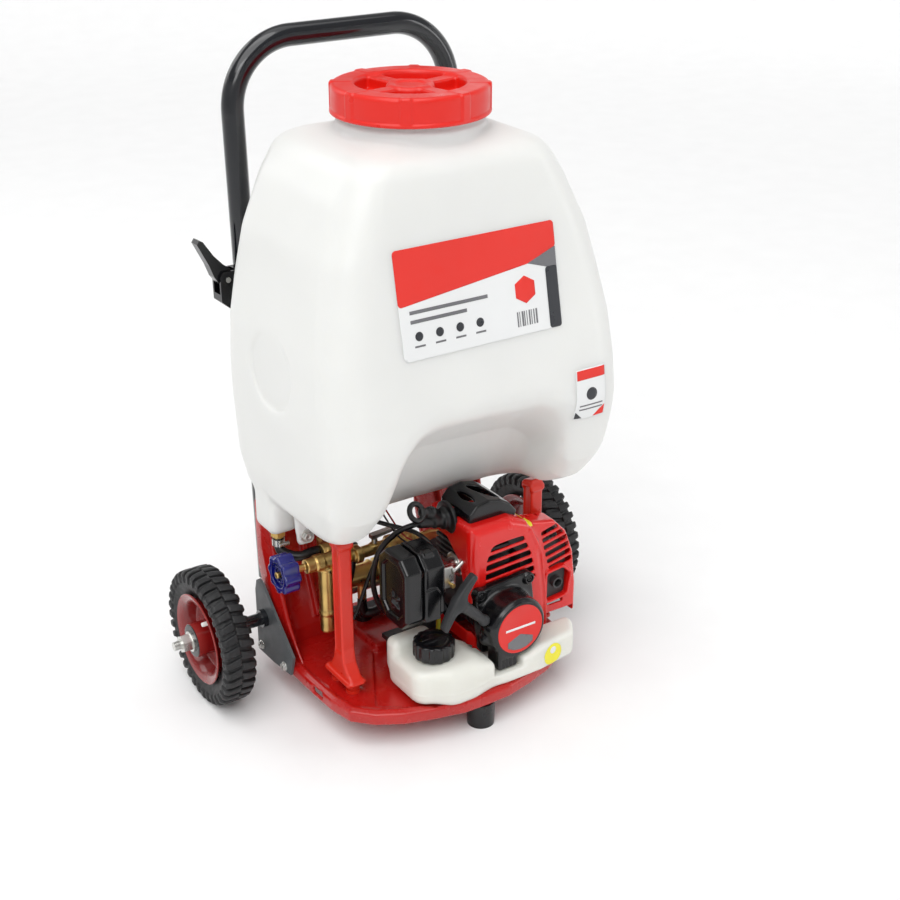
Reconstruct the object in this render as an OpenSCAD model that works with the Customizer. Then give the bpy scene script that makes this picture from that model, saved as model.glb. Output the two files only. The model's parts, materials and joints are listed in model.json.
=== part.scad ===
// Wheeled sprayer cart: a 25 litre tank, a small two-stroke engine and a plunger pump on a two-wheel cart
// with a telescopic handle. The front of the cart faces -Y and the ground is z = 0.

/* [Wheels] */
// Outside radius of the tyres
wheel_r = 80; // [79:0.5:80]
// Width of each tyre
tyre_w = 39; // [37:1:40]
// Middle of each tyre, out from the middle of the cart
track_half = 226; // [225:1:228]
// Wheel axle, behind the middle of the cart
axle_y = 76; // [74:1:76]
// Radius of the axle rod
axle_r = 6; // [5.5:0.5:6]
// Radius of the rim's lip
rim_r = 52.5; // [51:0.5:53]

/* [Base] */
// Half width of the tray
tray_half = 155; // [154:0.5:155]
// Underside of the tray above the ground
tray_z = 30; // [28:1:31]
// Top of the tray's floor above the ground
floor_z = 45; // [44.5:0.1:45]
// Top of the back panel's shelf
panel_top = 224; // [222:0.5:224]
// Distance of the left support leg from the middle
leg_x_left = 123; // [121:1:124]
// Distance of the right support leg from the middle
leg_x_right = 132; // [131:0.5:132]
// Middle of the support legs, along the cart
leg_y = -50; // [-52:1:-48]
// Middle of the front foot, along the cart
foot_y = -139; // [-139.5:0.5:-136]

/* [Handle] */
// Distance of each handle tube from the middle
handle_x = 134; // [133:1:136]
// Radius of the upper handle tube
handle_r = 12; // [11.5:0.5:12]
// Wall of the upper tube
tube_wall = 1.5; // [1.2:0.1:2]
// Height of the middle of the handle's top bar
handle_top = 728; // [720:2:740]
// Bend radius of the handle's corners
handle_bend = 72; // [64:2:80]
// Backward lean of the handle, in degrees
handle_lean = 2; // [1:0.5:2.5]
// Lower end of the upper tube
handle_low = 462; // [460:1:464]

/* [Tank] */
// Half width of the tank at its widest
tank_half = 180; // [178:1:182]
// Thickness of the tank's wall
tank_wall = 3; // [2.5:0.5:3.5]
// Radius of the filler neck
neck_r = 74; // [72:1:74]
// Middle of the filler neck, along the cart
neck_y = -3.5; // [-5:0.5:-2]
// Radius of the tank's cap
cap_r = 82.8; // [82:0.2:84]
// Top of the cap
cap_top = 697; // [696:0.5:700]

/* [Engine] */
// Crankshaft axis, to the side of the middle
crank_x = 47; // [46:0.5:48]
// Crankshaft axis above the ground
crank_z = 110; // [109.5:0.5:111]
// Radius of the starter housing
starter_r = 36; // [35:0.5:36.5]

/* [Pump] */
// Middle of the pump, along the cart
pump_y = 12; // [11:0.5:13]
// Radius of the pressure knob
knob_r = 23; // [20:1:24]

/* [Hidden] */
$fn = 48;
SIDES = [-1, 1];
plate = 3;
running = 0.06;
function leg_at(s) = s < 0 ? -leg_x_left : leg_x_right;

// A point of a smooth curve through p, at t from 0 to the last point
function spline_at(p, t) =
    let (n = len(p) - 1, i = min(floor(t), n - 1), u = t - i,
         a = p[max(i - 1, 0)], b = p[i], c = p[i + 1], d = p[min(i + 2, n)])
    0.5 * (2 * b + (c - a) * u + (2 * a - 5 * b + 4 * c - d) * u * u + (3 * b - a - 3 * c + d) * u * u * u);
function unit(v) = v / norm(v);
function across(t, up) = unit(cross(t, up));

// A round cord or hose swept along a route, with its ends cut square
module sweep(route, r, steps = 3, sides = 10, up = [0, 0, 1]) {
    count = (len(route) - 1) * steps;
    path = [for (k = [0:count]) spline_at(route, k / steps)];
    rings = [for (k = [0:count])
        let (t = unit(path[min(k + 1, count)] - path[max(k - 1, 0)]), a = across(t, up), b = cross(t, a))
        for (s = [0:sides - 1]) path[k] + r * (cos(360 * s / sides) * a + sin(360 * s / sides) * b)];
    skin = [for (k = [0:count - 1], s = [0:sides - 1])
        [k * sides + s, (k + 1) * sides + s, (k + 1) * sides + (s + 1) % sides, k * sides + (s + 1) % sides]];
    near = [[for (s = [0:sides - 1]) s]];
    far = [[for (s = [sides - 1:-1:0]) count * sides + s]];
    polyhedron(rings, concat(skin, near, far), convexity = 6);
}

// Rods along each axis, from one end to the other
module rod_x(r, x0, x1, y, z) translate([x0, y, z]) rotate([0, 90, 0]) cylinder(r = r, h = x1 - x0);
module rod_y(r, y0, y1, x, z) translate([x, y0, z]) rotate([-90, 0, 0]) cylinder(r = r, h = y1 - y0);
module rod_z(r, z0, z1, x, y) translate([x, y, z0]) cylinder(r = r, h = z1 - z0);
module box(low, high) translate(low) cube(high - low);

// An outline drawn in the plane across X, Y or Z and given a thickness
module slab_x(outline, x0, x1) translate([x0, 0, 0]) rotate([90, 0, 90]) linear_extrude(x1 - x0) polygon(outline);
module slab_y(outline, y0, y1) translate([0, y1, 0]) rotate([90, 0, 0]) linear_extrude(y1 - y0) polygon(outline);

// ---------------------------------------------------------------- base and legs

function tray_side() = [[0, -155], [30, -154], [64, -146], [98, -135], [126, -119], [146, -98],
    [tray_half - 2.5, -68], [tray_half - 0.5, -24], [tray_half, 20], [tray_half, 101]];
function tray_outline(k) = let (p = [for (q = tray_side()) [q[0] * k, (q[1] + 27) * k - 27]], n = len(p))
    concat(p, [for (i = [n - 1:-1:1]) [-p[i][0], p[i][1]]]);
panel_y = 97;
panel_thick = 4;
panel_half = 145;
function wing() = [[panel_y, floor_z], [panel_y, 214], [82, 214], [64, 130], [34, 62], [14, floor_z]];

module base_frame() {
    color([0.72, 0.08, 0.06]) difference() {
        union() {
            difference() {
                translate([0, 0, tray_z]) linear_extrude(floor_z - tray_z) polygon(tray_outline(1));
                translate([0, 0, tray_z - 1]) linear_extrude(floor_z - tray_z - plate + 1) polygon(tray_outline(0.96));
            }
            difference() {
                box([-panel_half, panel_y, floor_z], [panel_half, panel_y + panel_thick, panel_top]);
                box([-62, panel_y - 1, 58], [62, panel_y + panel_thick + 1, 190]);
            }
            for (s = SIDES) slab_x(wing(), s * (panel_half - 2) - 2, s * (panel_half - 2) + 2);
            box([-118, 66, panel_top - 5], [118, panel_y, panel_top]);
            rod_z(17, tray_z, floor_z - plate, 0, foot_y + 4);
        }
        for (s = SIDES, k = SIDES) rod_z(3.3, tray_z - 1, floor_z + 1, leg_at(s), leg_y + 16 * k);
        rod_x(axle_r + 0.4, -tray_half, tray_half, axle_y, wheel_r);
        for (s = SIDES, y = [30, 86]) rod_x(2.6, s * tray_half - 9, s * tray_half + 9, y, 38);
        rod_z(3.2, tray_z - 1, floor_z + 1, 0, foot_y + 4);
    }
}

// Rubber foot under the front of the tray
module front_foot() color([0.06, 0.06, 0.07]) difference() {
    translate([0, foot_y, 0]) cylinder(r1 = 15.4, r2 = 16.4, h = tray_z);
    rod_z(8, -1, 10, 0, foot_y + 4);
    rod_z(3.2, 9, tray_z + 1, 0, foot_y + 4);
}

leg_low = 57;
leg_high = 231;
module leg(s) color([0.85, 0.12, 0.07]) difference() {
    union() {
        slab_x([[leg_y - 9, leg_high + 6], [leg_y + 9, leg_high + 0.3], [leg_y + 10, 92], [leg_y + 13, 74],
                [leg_y + 22, 64], [leg_y + 30, 61], [leg_y + 30, leg_low], [leg_y - 32, leg_low], [leg_y - 32, 61],
                [leg_y - 22, 65], [leg_y - 14, 75], [leg_y - 10, 92]], leg_at(s) - 8.5, leg_at(s) + 8.5);
        slab_x([[leg_y - 26, 61], [leg_y - 32, leg_low], [leg_y + 30, leg_low], [leg_y + 24, 61]],
               leg_at(s) - 12, leg_at(s) + 12);
    }
    for (k = SIDES) rod_z(3.2, leg_low - 1, 64, leg_at(s), leg_y + 16 * k);
}
module leg_left() leg(-1);
module leg_right() leg(1);

// Red spacers between the legs and the tray
module leg_bushes() color([0.85, 0.12, 0.07]) for (s = SIDES, k = SIDES) difference() {
    union() {
        rod_z(8, floor_z, floor_z + 4.5, leg_at(s), leg_y + 16 * k);
        rod_z(6, floor_z + 4.5, leg_low - 4.5, leg_at(s), leg_y + 16 * k);
        rod_z(8, leg_low - 4.5, leg_low, leg_at(s), leg_y + 16 * k);
    }
    rod_z(3.2, floor_z - 1, leg_low + 1, leg_at(s), leg_y + 16 * k);
}

// Screws of the legs, brackets and foot
module frame_bolts() color([0.2, 0.2, 0.22]) {
    for (s = SIDES, k = SIDES) {
        rod_z(3, floor_z - plate, 63, leg_at(s), leg_y + 16 * k);
        translate([leg_at(s), leg_y + 16 * k, floor_z - plate - 4]) cylinder(r = 5.8, h = 4, $fn = 6);
    }
    for (s = SIDES, y = [30, 86]) {
        rod_x(2.5, min(s * 148, s * 158.4), max(s * 148, s * 158.4), y, 38);
        rod_x(4.6, min(s * 158.4, s * 161.4), max(s * 158.4, s * 161.4), y, 38);
    }
    rod_z(3, 10, floor_z, 0, foot_y + 4);
    rod_z(6, 7, 10, 0, foot_y + 4);
    translate([0, foot_y + 4, floor_z]) cylinder(r = 5.8, h = 5, $fn = 6);
    rod_y(3.8, 4, 20, tab_x, tab_z);
    rod_y(8, 6.2, 7.7, tab_x, tab_z);
    translate([tab_x, 6.2, tab_z]) rotate([90, 0, 0]) cylinder(r = 7.5, h = 4, $fn = 6);
}

// Sheet steel plates that carry the axle
module bracket(s) color([0.22, 0.23, 0.24]) difference() {
    slab_x([[16, 33], [8, 60], [78, 124], [86, 127], [93, 122], [97, 108], [97, 27], [60, 28]],
           min(s * 155.2, s * 158.2), max(s * 155.2, s * 158.2));
    rod_x(axle_r, -180, 180, axle_y, wheel_r);
    for (y = [30, 86]) rod_x(2.6, -180, 180, y, 38);
}
module bracket_left() bracket(-1);
module bracket_right() bracket(1);

// ---------------------------------------------------------------- axle and wheels

hub_half = 24;
axle_shoulder = 265;
axle_end_r = 5;
module axle() color([0.7, 0.7, 0.72]) {
    rod_x(axle_r, -axle_shoulder, axle_shoulder, axle_y, wheel_r);
    for (s = SIDES) rod_x(axle_end_r, min(s * 264, s * 273), max(s * 264, s * 273), axle_y, wheel_r);
}
module axle_sleeves() color([0.07, 0.07, 0.08]) for (s = SIDES) difference() {
    union() {
        rod_x(7.5, min(s * 158.2, s * 201.5), max(s * 158.2, s * 201.5), axle_y, wheel_r);
        rod_x(10.5, min(s * 158.2, s * 164), max(s * 158.2, s * 164), axle_y, wheel_r);
    }
    rod_x(axle_r, -210, 210, axle_y, wheel_r);
}
// A washer and a lock nut on each end of the axle
module axle_nuts() color([0.72, 0.72, 0.7]) for (s = SIDES) difference() {
    union() {
        rod_x(12, min(s * 251, s * 253), max(s * 251, s * 253), axle_y, wheel_r);
        translate([s * 258.5, axle_y, wheel_r]) rotate([0, 90, 0]) cylinder(r = 10.5, h = 11, center = true, $fn = 6);
    }
    rod_x(axle_r, -280, 280, axle_y, wheel_r);
}

// Places a wheel part, drawn around Z and facing outward along +Z
module at_wheel(s) translate([s * track_half, axle_y, wheel_r]) rotate([0, s * 90, 0]) children();

bead_r = 50;
module tyre(s) color([0.05, 0.05, 0.055]) at_wheel(s) rotate_extrude($fn = 96) {
    h = tyre_w / 2;
    difference() {
        polygon([[bead_r, -13], [58, -16], [66, -h + 1], [72, -h], [77.5, -h + 3], [wheel_r, -11], [wheel_r, 11],
                 [77.5, h - 3], [72, h], [66, h - 1], [58, 16], [bead_r, 13]]);
        translate([63.5, 0]) circle(r = 12.5);
        polygon([[bead_r - 1, -8], [58, -10], [58, 10], [bead_r - 1, 8]]);
    }
}
module tyre_left() tyre(-1);
module tyre_right() tyre(1);

module inner_tube(s) color([0.12, 0.12, 0.13]) at_wheel(s) {
    rotate_extrude($fn = 64) translate([63.5, 0]) circle(r = 12);
}
module inner_tube_left() inner_tube(-1);
module inner_tube_right() inner_tube(1);

// Deep dished rim with its hub tube, and bores for the bearings
module rim(s) color([0.6, 0.07, 0.06]) at_wheel(s) rotate_extrude($fn = 96) {
    difference() {
        polygon([[16, -hub_half], [19.5, -hub_half], [19.5, -9], [38, -5], [41, -9], [43, -16], [rim_r, -18.5],
                 [rim_r, -16.7], [bead_r - 1, -14], [bead_r - 1, -13.2], [49.4, -13], [45.5, -8], [45.5, 8],
                 [49.4, 13], [bead_r - 1, 13.2], [bead_r - 1, 14], [rim_r, 16.7],
                 [rim_r, 18.5], [43, 16], [41, 6], [38, -1], [19.5, -5], [19.5, hub_half], [16, hub_half]]);
    }
}
module rim_left() rim(-1);
module rim_right() rim(1);

module bearings(s) color([0.5, 0.5, 0.52]) at_wheel(s) for (k = SIDES) difference() {
    translate([0, 0, k * (hub_half - 6)]) cylinder(r = 16, h = 10, center = true);
    translate([0, 0, k * (hub_half - 6)]) cylinder(r = axle_r + running, h = 12, center = true);
}
module bearings_left() bearings(-1);
module bearings_right() bearings(1);

module dust_caps(s) color([0.05, 0.05, 0.06]) at_wheel(s) for (k = SIDES) difference() {
    translate([0, 0, k * (hub_half + 0.2)]) cylinder(r = 19.3, h = 0.4, center = true);
    translate([0, 0, k * hub_half]) cylinder(r = 8, h = 6, center = true);
}
module dust_caps_left() dust_caps(-1);
module dust_caps_right() dust_caps(1);

// ---------------------------------------------------------------- handle

lean_y = 124;
lean_z = 450;
// The handle's own upright frame: z runs along the tubes, and y = 0 is their plane
module leaning() translate([0, lean_y, lean_z]) rotate([-handle_lean, 0, 0]) translate([0, 0, -lean_z]) children();
tube_r = handle_r - tube_wall - running;
module lower_tubes() color([0.05, 0.05, 0.06]) leaning() for (s = SIDES) difference() {
    rod_z(tube_r, 112, 645, s * handle_x, 0);
    rod_z(tube_r - 1.5, 111, 646, s * handle_x, 0);
}
module bow(r) {
    for (s = SIDES) {
        rod_z(r, handle_low, handle_top - handle_bend, s * handle_x, 0);
        translate([s * (handle_x - handle_bend), 0, handle_top - handle_bend]) rotate([90, 0, s > 0 ? 0 : 180])
            rotate_extrude(angle = 90) translate([handle_bend, 0]) circle(r = r);
    }
    rod_x(r, -handle_x + handle_bend, handle_x - handle_bend, 0, handle_top);
}
module handle_tube() color([0.04, 0.04, 0.05]) leaning() difference() {
    bow(handle_r);
    bow(handle_r - tube_wall);
    for (s = SIDES) rod_z(handle_r - tube_wall, handle_low - 1, handle_low + 1, s * handle_x, 0);
}

pivot_out = 25;
pivot_z = 482;
collar_low = handle_low - 14;
ear_in = 7.4;
ear_out = 10.4;
// Zinc collars under the upper tubes, and the pins of the clamp levers
module clamp_fittings() color([0.75, 0.76, 0.78]) leaning() for (s = SIDES) {
    difference() {
        rod_z(13, collar_low, handle_low, s * handle_x, 0);
        rod_z(tube_r + running, collar_low - 1, handle_low + 1, s * handle_x, 0);
    }
    rod_y(3, -ear_out - 1, ear_out + 1, s * (handle_x + pivot_out), pivot_z);
}
function outward(s, outline) = [for (q = outline) [s * (handle_x + q[0]), q[1]]];
module clamp_bodies() color([0.05, 0.05, 0.06]) leaning() for (s = SIDES) difference() {
    union() {
        slab_y(outward(s, [[2, 449], [24, 449], [34, 458], [34, 466], [2, 466]]), -ear_out, ear_out);
        for (k = SIDES) slab_y(outward(s, [[2, 466], [34, 466], [34, 486], [30, 491], [2, 491]]),
                               min(k * ear_in, k * ear_out), max(k * ear_in, k * ear_out));
        slab_y(outward(s, [[2, 466], [13.9, 466], [13.9, 491], [2, 491]]), -ear_in, ear_in);
    }
    rod_z(handle_r + 0.1, handle_low - 1, 500, s * handle_x, 0);
    rod_z(13.1, 440, handle_low + 0.1, s * handle_x, 0);
    rod_y(3.1, -20, 20, s * (handle_x + pivot_out), pivot_z);
}
module clamp_lever(s) color([0.05, 0.05, 0.06]) leaning() difference() {
    slab_y(outward(s, [[17, 486], [18, 477], [25, 473], [33, 477], [39, 486], [44, 500], [56, 525], [53, 529],
                       [49, 527], [38, 510], [28, 499], [20, 493]]), -ear_in + 0.4, ear_in - 0.4);
    rod_y(3 + running, -20, 20, s * (handle_x + pivot_out), pivot_z);
}
module clamp_lever_left() clamp_lever(-1);
module clamp_lever_right() clamp_lever(1);

// ---------------------------------------------------------------- tank

tank_top = 652;
neck_top = 688;
outlet_x = -150;
outlet_y = 46;
tab_x = -153;
tab_z = 213;
// Height, half width, front, back and corner radius of the tank, from its bottom to its shoulder
function tank_rows() = [[225, 120, -104, 68, 34], [232, 138, -122, 80, 44], [246, 155, -138, 90, 52],
    [268, 169, -149, 95, 58], [300, 176, -155, 96, 58], [340, tank_half - 1, -156, 96, 54],
    [372, tank_half, -156, 96, 50],
    [410, tank_half, -151, 96, 50], [460, tank_half - 3, -141, 96, 50], [503, tank_half - 11, -132, 96, 50],
    [553, tank_half - 23, -122, 96, 50], [606, tank_half - 46, -111, 95, 50], [636, tank_half - 66, -102, 92, 46],
    [648, tank_half - 80, -90, 82, 40], [tank_top, tank_half - 94, -74, 68, 34]];
function corner(cx, cy, r, a) = [for (k = [0:6]) [cx + r * cos(a + 15 * k), cy + r * sin(a + 15 * k)]];
function tank_ring(q, t) = let (x = q[1] - t, f = q[2] + t, b = q[3] - t, r = q[4] - t, n = 0.55 * q[4] - t)
    concat(corner(x - n, b - n, n, 0), corner(n - x, b - n, n, 90), corner(r - x, f + r, r, 180),
           corner(x - r, f + r, r, 270));
module tank_loft(t) {
    rows = tank_rows();
    n = 28;
    last = len(rows) - 1;
    points = [for (k = [0:last], p = tank_ring(rows[k], t))
        [p[0], p[1], k == 0 ? rows[k][0] + t : k == last ? rows[k][0] - t : rows[k][0]]];
    skin = [for (k = [0:last - 1], s = [0:n - 1])
        [k * n + s, (k + 1) * n + s, (k + 1) * n + (s + 1) % n, k * n + (s + 1) % n]];
    polyhedron(points, concat(skin, [[for (s = [0:n - 1]) s]], [[for (s = [n - 1:-1:0]) last * n + s]]));
}
// Arched space that the engine stands in: it is high at the front and falls towards the back
module engine_bay(t) hull() {
    for (x = [-52, 52]) rod_y(48 + t, -200, -150, x, 337, $fn = 32);
    for (x = [-60, 60]) rod_y(38 + t, -70, -64, x, 285, $fn = 32);
    for (x = [-64, 64]) rod_y(30 + t, -2, 0, x, 188, $fn = 32);
    box([-101 - t, -200, 250], [101 + t, -150, 330]);
    box([-116 - t, -200, 180], [116 + t, -150, 240]);
    box([-111 - t, -70, 180], [111 + t, -64, 236]);
    box([-100 - t, -10, 180], [100 + t, 0, 190]);
}
// The underside curves up towards the front
function belly_curve() = [[-18, 225], [-75, 243], [-108, 266], [-132, 294], [-147, 324], [-172, 362]];
module belly(t) slab_x(concat([[-18 + t, 200]], [for (q = belly_curve()) [q[0] + t, q[1] + t]], [[-172, 200]]),
    -200, 200);
module sump(t) hull() {
    box([-165 + t, 30 + t, 222], [-130 - t, 74 - t, 250]);
    box([-162 + t, 33 + t, 207 + t], [-134 - t, 70 - t, 222]);
}
module tank_form(t) {
    difference() {
        tank_loft(t);
        engine_bay(t);
        belly(t);
    }
    sump(t);
}
module tank() color([0.93, 0.94, 0.92]) difference() {
    union() {
        tank_form(0);
        rod_z(neck_r + 3, tank_top - 3, 660, 0, neck_y);
        rod_z(neck_r, 660, neck_top, 0, neck_y);
        slab_y([[-163, 256], [-165, 210], [-158, 203], [-148, 203], [-141, 210], [-141, 256]], 8, 14);
    }
    tank_form(tank_wall);
    rod_z(neck_r - 3.5, tank_top - 8, neck_top + 1, 0, neck_y);
    rod_y(4, 0, 20, tab_x, tab_z);
    rod_z(6.1, 200, 215, outlet_x, outlet_y);
}

// Screw cap with grip ribs, a sunk middle, four spokes and a round boss
cap_low = 667;
module tank_cap() color([0.88, 0.13, 0.08]) translate([0, neck_y, 0]) {
    difference() {
        union() {
            translate([0, 0, cap_low]) cylinder(r = cap_r, h = 3);
            translate([0, 0, cap_low + 3]) cylinder(r = cap_r - 1.5, h = cap_top - cap_low - 7, $fn = 96);
            translate([0, 0, cap_top - 4]) cylinder(r1 = cap_r - 1.5, r2 = cap_r - 5, h = 3);
            for (k = [0:7]) rotate(55 + 45 * k) {
                box([cap_r - 6, -5.5, cap_low + 3], [cap_r - 0.3, 5.5, cap_top - 4]);
                box([59, -5.5, cap_top - 4], [cap_r - 2.5, 5.5, cap_top]);
            }
        }
        translate([0, 0, cap_low - 1]) cylinder(r = 78.3, h = cap_top - cap_low - 4);
        translate([0, 0, cap_top - 18]) cylinder(r = 57, h = 20);
    }
    difference() {
        translate([0, 0, cap_top - 18]) cylinder(r = 58, h = 13);
        translate([0, 0, cap_top - 15]) cylinder(r = 54.5, h = 20);
    }
    translate([0, 0, cap_top - 16]) cylinder(r = 26, h = 14);
    for (k = [0:3]) rotate(10 + 90 * k) box([20, -7, cap_top - 16], [56, 7, cap_top - 3]);
}
// Sealing ring under the cap
module cap_gasket() color([0.15, 0.15, 0.16]) difference() {
    rod_z(neck_r - 0.5, neck_top + 2, neck_top + 3.6, 0, neck_y);
    rod_z(66, neck_top + 1, neck_top + 5, 0, neck_y);
}
// Filler strainer: a slotted basket that hangs in the neck
module strainer() color([0.1, 0.1, 0.11]) translate([0, neck_y, 0]) difference() {
    union() {
        translate([0, 0, neck_top]) cylinder(r = neck_r - 0.5, h = 2);
        translate([0, 0, 596]) cylinder(r = 67, h = neck_top - 595);
    }
    translate([0, 0, 598]) cylinder(r = 64.5, h = 100);
    for (k = [0:5]) rotate(30 * k) box([-80, -4, 606], [80, 4, 664]);
}
// Brass spigot in the tank's sump
module tank_outlet() color([0.75, 0.6, 0.3]) difference() {
    union() {
        rod_z(6, 198, 214, outlet_x, outlet_y);
        translate([outlet_x, outlet_y, 201]) cylinder(r = 9, h = 5.9, $fn = 6);
    }
    rod_z(3.5, 190, 220, outlet_x, outlet_y);
}

// ---------------------------------------------------------------- engine

crank_y = -52;
shroud_front = -103;
shroud_back = -18;
rail_z = 60;
// Rubber feet between the engine and the tray
module engine_mounts() color([0.05, 0.05, 0.06]) {
    for (x = [-40, 96], y = [-20, 52]) difference() {
        rod_z(10, floor_z, rail_z, x, y);
        rod_z(3, floor_z - 1, rail_z + 1, x, y);
    }
}
// Crankcase with the frame that carries the engine and the pump, and the clutch housing at its back
module crankcase() color([0.55, 0.56, 0.58]) difference() {
    union() {
        box([-50, -30, rail_z], [106, -8, rail_z + 5.5]);
        box([-50, 42, rail_z], [106, 62, rail_z + 5.5]);
        box([22, -30, rail_z], [72, 62, rail_z + 5.5]);
        box([24, -30, rail_z + 5], [70, -8, 84]);
        rod_y(29, -82, -6, crank_x, crank_z);
        box([crank_x - 26, crank_y - 28, crank_z], [crank_x + 26, crank_y + 28, 152]);
        rod_y(40, -6, 22, crank_x, crank_z);
    }
    rod_y(26, -70, 18, crank_x, crank_z);
    rod_y(10, -84, -60, crank_x, crank_z);
    rod_z(18, crank_z, 160, crank_x, crank_y);
    for (x = [-40, 96], y = [-20, 52]) rod_z(3, rail_z - 1, rail_z + 7, x, y);
}
// Finned cylinder with its bore and plug hole
module fins() for (k = [0:6]) box([crank_x - 31, crank_y - 29, 156 + 7 * k], [crank_x + 31, crank_y + 29, 159 + 7 * k]);
module cylinder_block() color([0.6, 0.61, 0.63]) difference() {
    union() {
        rod_z(22, 152, 203, crank_x, crank_y);
        fins();
        box([crank_x - 26, crank_y - 26, 152], [crank_x + 26, crank_y + 26, 156]);
    }
    rod_z(17, 150, 194, crank_x, crank_y);
    rod_z(4, 190, 210, crank_x, crank_y);
}
// Crankshaft with the fan flywheel at the front and the clutch drum at the back
module flywheel() color([0.62, 0.63, 0.65]) {
    rod_y(9.94, -104, -60, crank_x, crank_z);
    rod_y(24, -60, -10, crank_x, crank_z);
    difference() {
        union() {
            rod_y(12, -98, -92, crank_x, crank_z);
            for (k = [0:11]) translate([crank_x, -97, crank_z]) rotate([0, 30 * k, 0]) box([11, 0, -1.2], [29, 5.5, 1.2]);
            rod_y(30, -92, -88, crank_x, crank_z);
        }
        rod_y(9, -110, -80, crank_x, crank_z);
    }
    rod_y(22, -10, 14, crank_x, crank_z);
}
module spark_plug() color([0.85, 0.85, 0.83]) {
    rod_z(3.9, 194, 203.2, crank_x, crank_y);
    translate([crank_x, crank_y, 203.2]) cylinder(r = 8, h = 5, $fn = 6);
    rod_z(4.9, 208, 215.7, crank_x, crank_y);
}
// Rubber boot that runs from the plug out through the shroud's side, with its pull ring
module plug_boot() color([0.04, 0.04, 0.05]) {
    difference() {
        union() {
            rod_z(9, 209, 222, crank_x, crank_y);
            rod_x(9, -2, crank_x, crank_y, 222);
            rod_x(17, 0, 5, crank_y, 222);
            rod_x(7, -24, 0, crank_y, 222);
        }
        rod_z(5, 200, 216, crank_x, crank_y);
    }
    hull() {
        translate([-18, crank_y, 226]) sphere(r = 4, $fn = 20);
        translate([-28.6, crank_y - 3, 234]) sphere(r = 3, $fn = 16);
    }
    translate([-36, crank_y - 6, 238]) rotate([60, 0, 40]) rotate_extrude($fn = 32) translate([9, 0]) circle(r = 3.2, $fn = 16);
}

// ---------------------------------------------------------------- engine covers

skin = 2.5;
side_back = -62;
// Rounded prism along Y through corners given as [x, z, radius]
module prism(corners, y0, y1, t) hull() for (c = corners) rod_y(c[2] - t, y0, y1, c[0], c[1], $fn = 32);
module shroud_main(y0, y1, t) prism([[21, 218, 8], [78, 211, 9], [106, 182, 8], [115.5, 100, 6], [110, 74, 8],
    [21, 74, 8]], y0, y1, t);
module shroud_side(y0, y1, t) prism([[100, 194, 10], [146, 170, 18], [158, 146, 12], [160, 80, 8], [108, 74, 8]],
    y0, y1, t);
// Red cover over the fan, the cylinder and the muffler, open at the back and below
module engine_shroud() color([0.86, 0.11, 0.07]) difference() {
    union() {
        shroud_main(shroud_front, shroud_back, 0);
        shroud_side(-90, side_back, 0);
    }
    shroud_main(shroud_front + skin, 0, skin);
    shroud_side(-90 + skin, side_back, skin);
    box([100, side_back, 60], [122, 0, 168]);
    rod_y(37, -110, -98, crank_x, crank_z);
    box([10, -84, 98], [18, 0, 240]);
    box([18, -80, 205], [84, -28, 240]);
    box([18, -98, 60], [150, 0, 78]);
    for (k = [0:4]) slab_y([[30 + k * 0.5, 152 + 11 * k], [96 - 4 * k, 157 + 10 * k], [96 - 4 * k, 150 + 10 * k],
                            [30 + k * 0.5, 145 + 11 * k]], -110, -98);
    for (k = [0:5]) box([150, -82, 104 + 10 * k], [180, -70, 109 + 10 * k]);
    for (k = [0:2]) box([112, -84 + 7 * k, 170], [142, -80.5 + 7 * k, 215]);
    for (k = [0:3]) box([88, -58 + 9 * k, 170], [112, -54 + 9 * k, 215]);
    rod_y(11, -95, -80, 140, 113);
    box([131, -95, 90], [149, -80, 94]);
}
// Black cover over the plug, with an oval opening
module top_cover() color([0.05, 0.05, 0.06]) difference() {
    slab_y([[19, 227], [21, 236], [30, 243], [46, 245.5], [66, 242], [82, 234], [90, 221], [87, 218], [78, 221.5],
            [21, 227]], -84, -26);
    slab_y([[22, 200], [23.5, 234.5], [31, 240.5], [46, 243], [65, 239.6], [80, 232], [86, 221], [80, 200]],
           -81.5, -28.5);
    rod_x(10, 0, 30, crank_y, 222);
    hull() for (x = [40, 64]) rod_z(7, 230, 260, x, -55);
}
module muffler() color([0.25, 0.25, 0.26]) difference() {
    union() {
        box([90, -86, 88], [118, -34, 164]);
        box([110, -86, 88], [154, -64, 158]);
        rod_x(8, 78.4, 90, crank_y, 152);
        rod_y(7, -93, -86, 140, 113);
    }
    box([92, -84, 90], [116, -36, 162]);
    box([105, -84, 90], [152, -66, 156]);
    rod_x(6, 70, 95, crank_y, 152);
    rod_y(5, -100, -80, 140, 113);
}

// ---------------------------------------------------------------- starter

rope_y = -134;
rope_x = 18;
rope_z = 117;
pulley_r = 15.6;
// The line of the starter rope: z runs outward along the pull
module along_pull() translate([rope_x, rope_y, rope_z]) rotate([0, -45, 0]) children();
starter_screws = [[16, 148], [84, 148], [88, 78]];
module starter_housing() color([0.05, 0.05, 0.06]) difference() {
    union() {
        rod_y(starter_r, -146, -110, crank_x, crank_z);
        hull() {
            rod_y(starter_r + 2, -110, -103.2, crank_x, crank_z);
            for (q = starter_screws) rod_y(6, -110, -103.2, q[0], q[1]);
        }
        for (q = starter_screws) rod_y(6, -112, -109, q[0], q[1]);
        along_pull() translate([0, 0, -14]) cylinder(r = 9, h = 22);
        box([14, -145, 64], [42, -122, 96]);
    }
    rod_y(starter_r - 3, -143, -100, crank_x, crank_z);
    along_pull() translate([0, 0, -40]) cylinder(r = 3, h = 60);
    for (q = starter_screws) rod_y(2, -120, -100, q[0], q[1]);
}
// Round badge on the front of the starter
module starter_badge() color([0.8, 0.08, 0.06]) rod_y(30, -147.2, -146, crank_x, crank_z);
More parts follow.
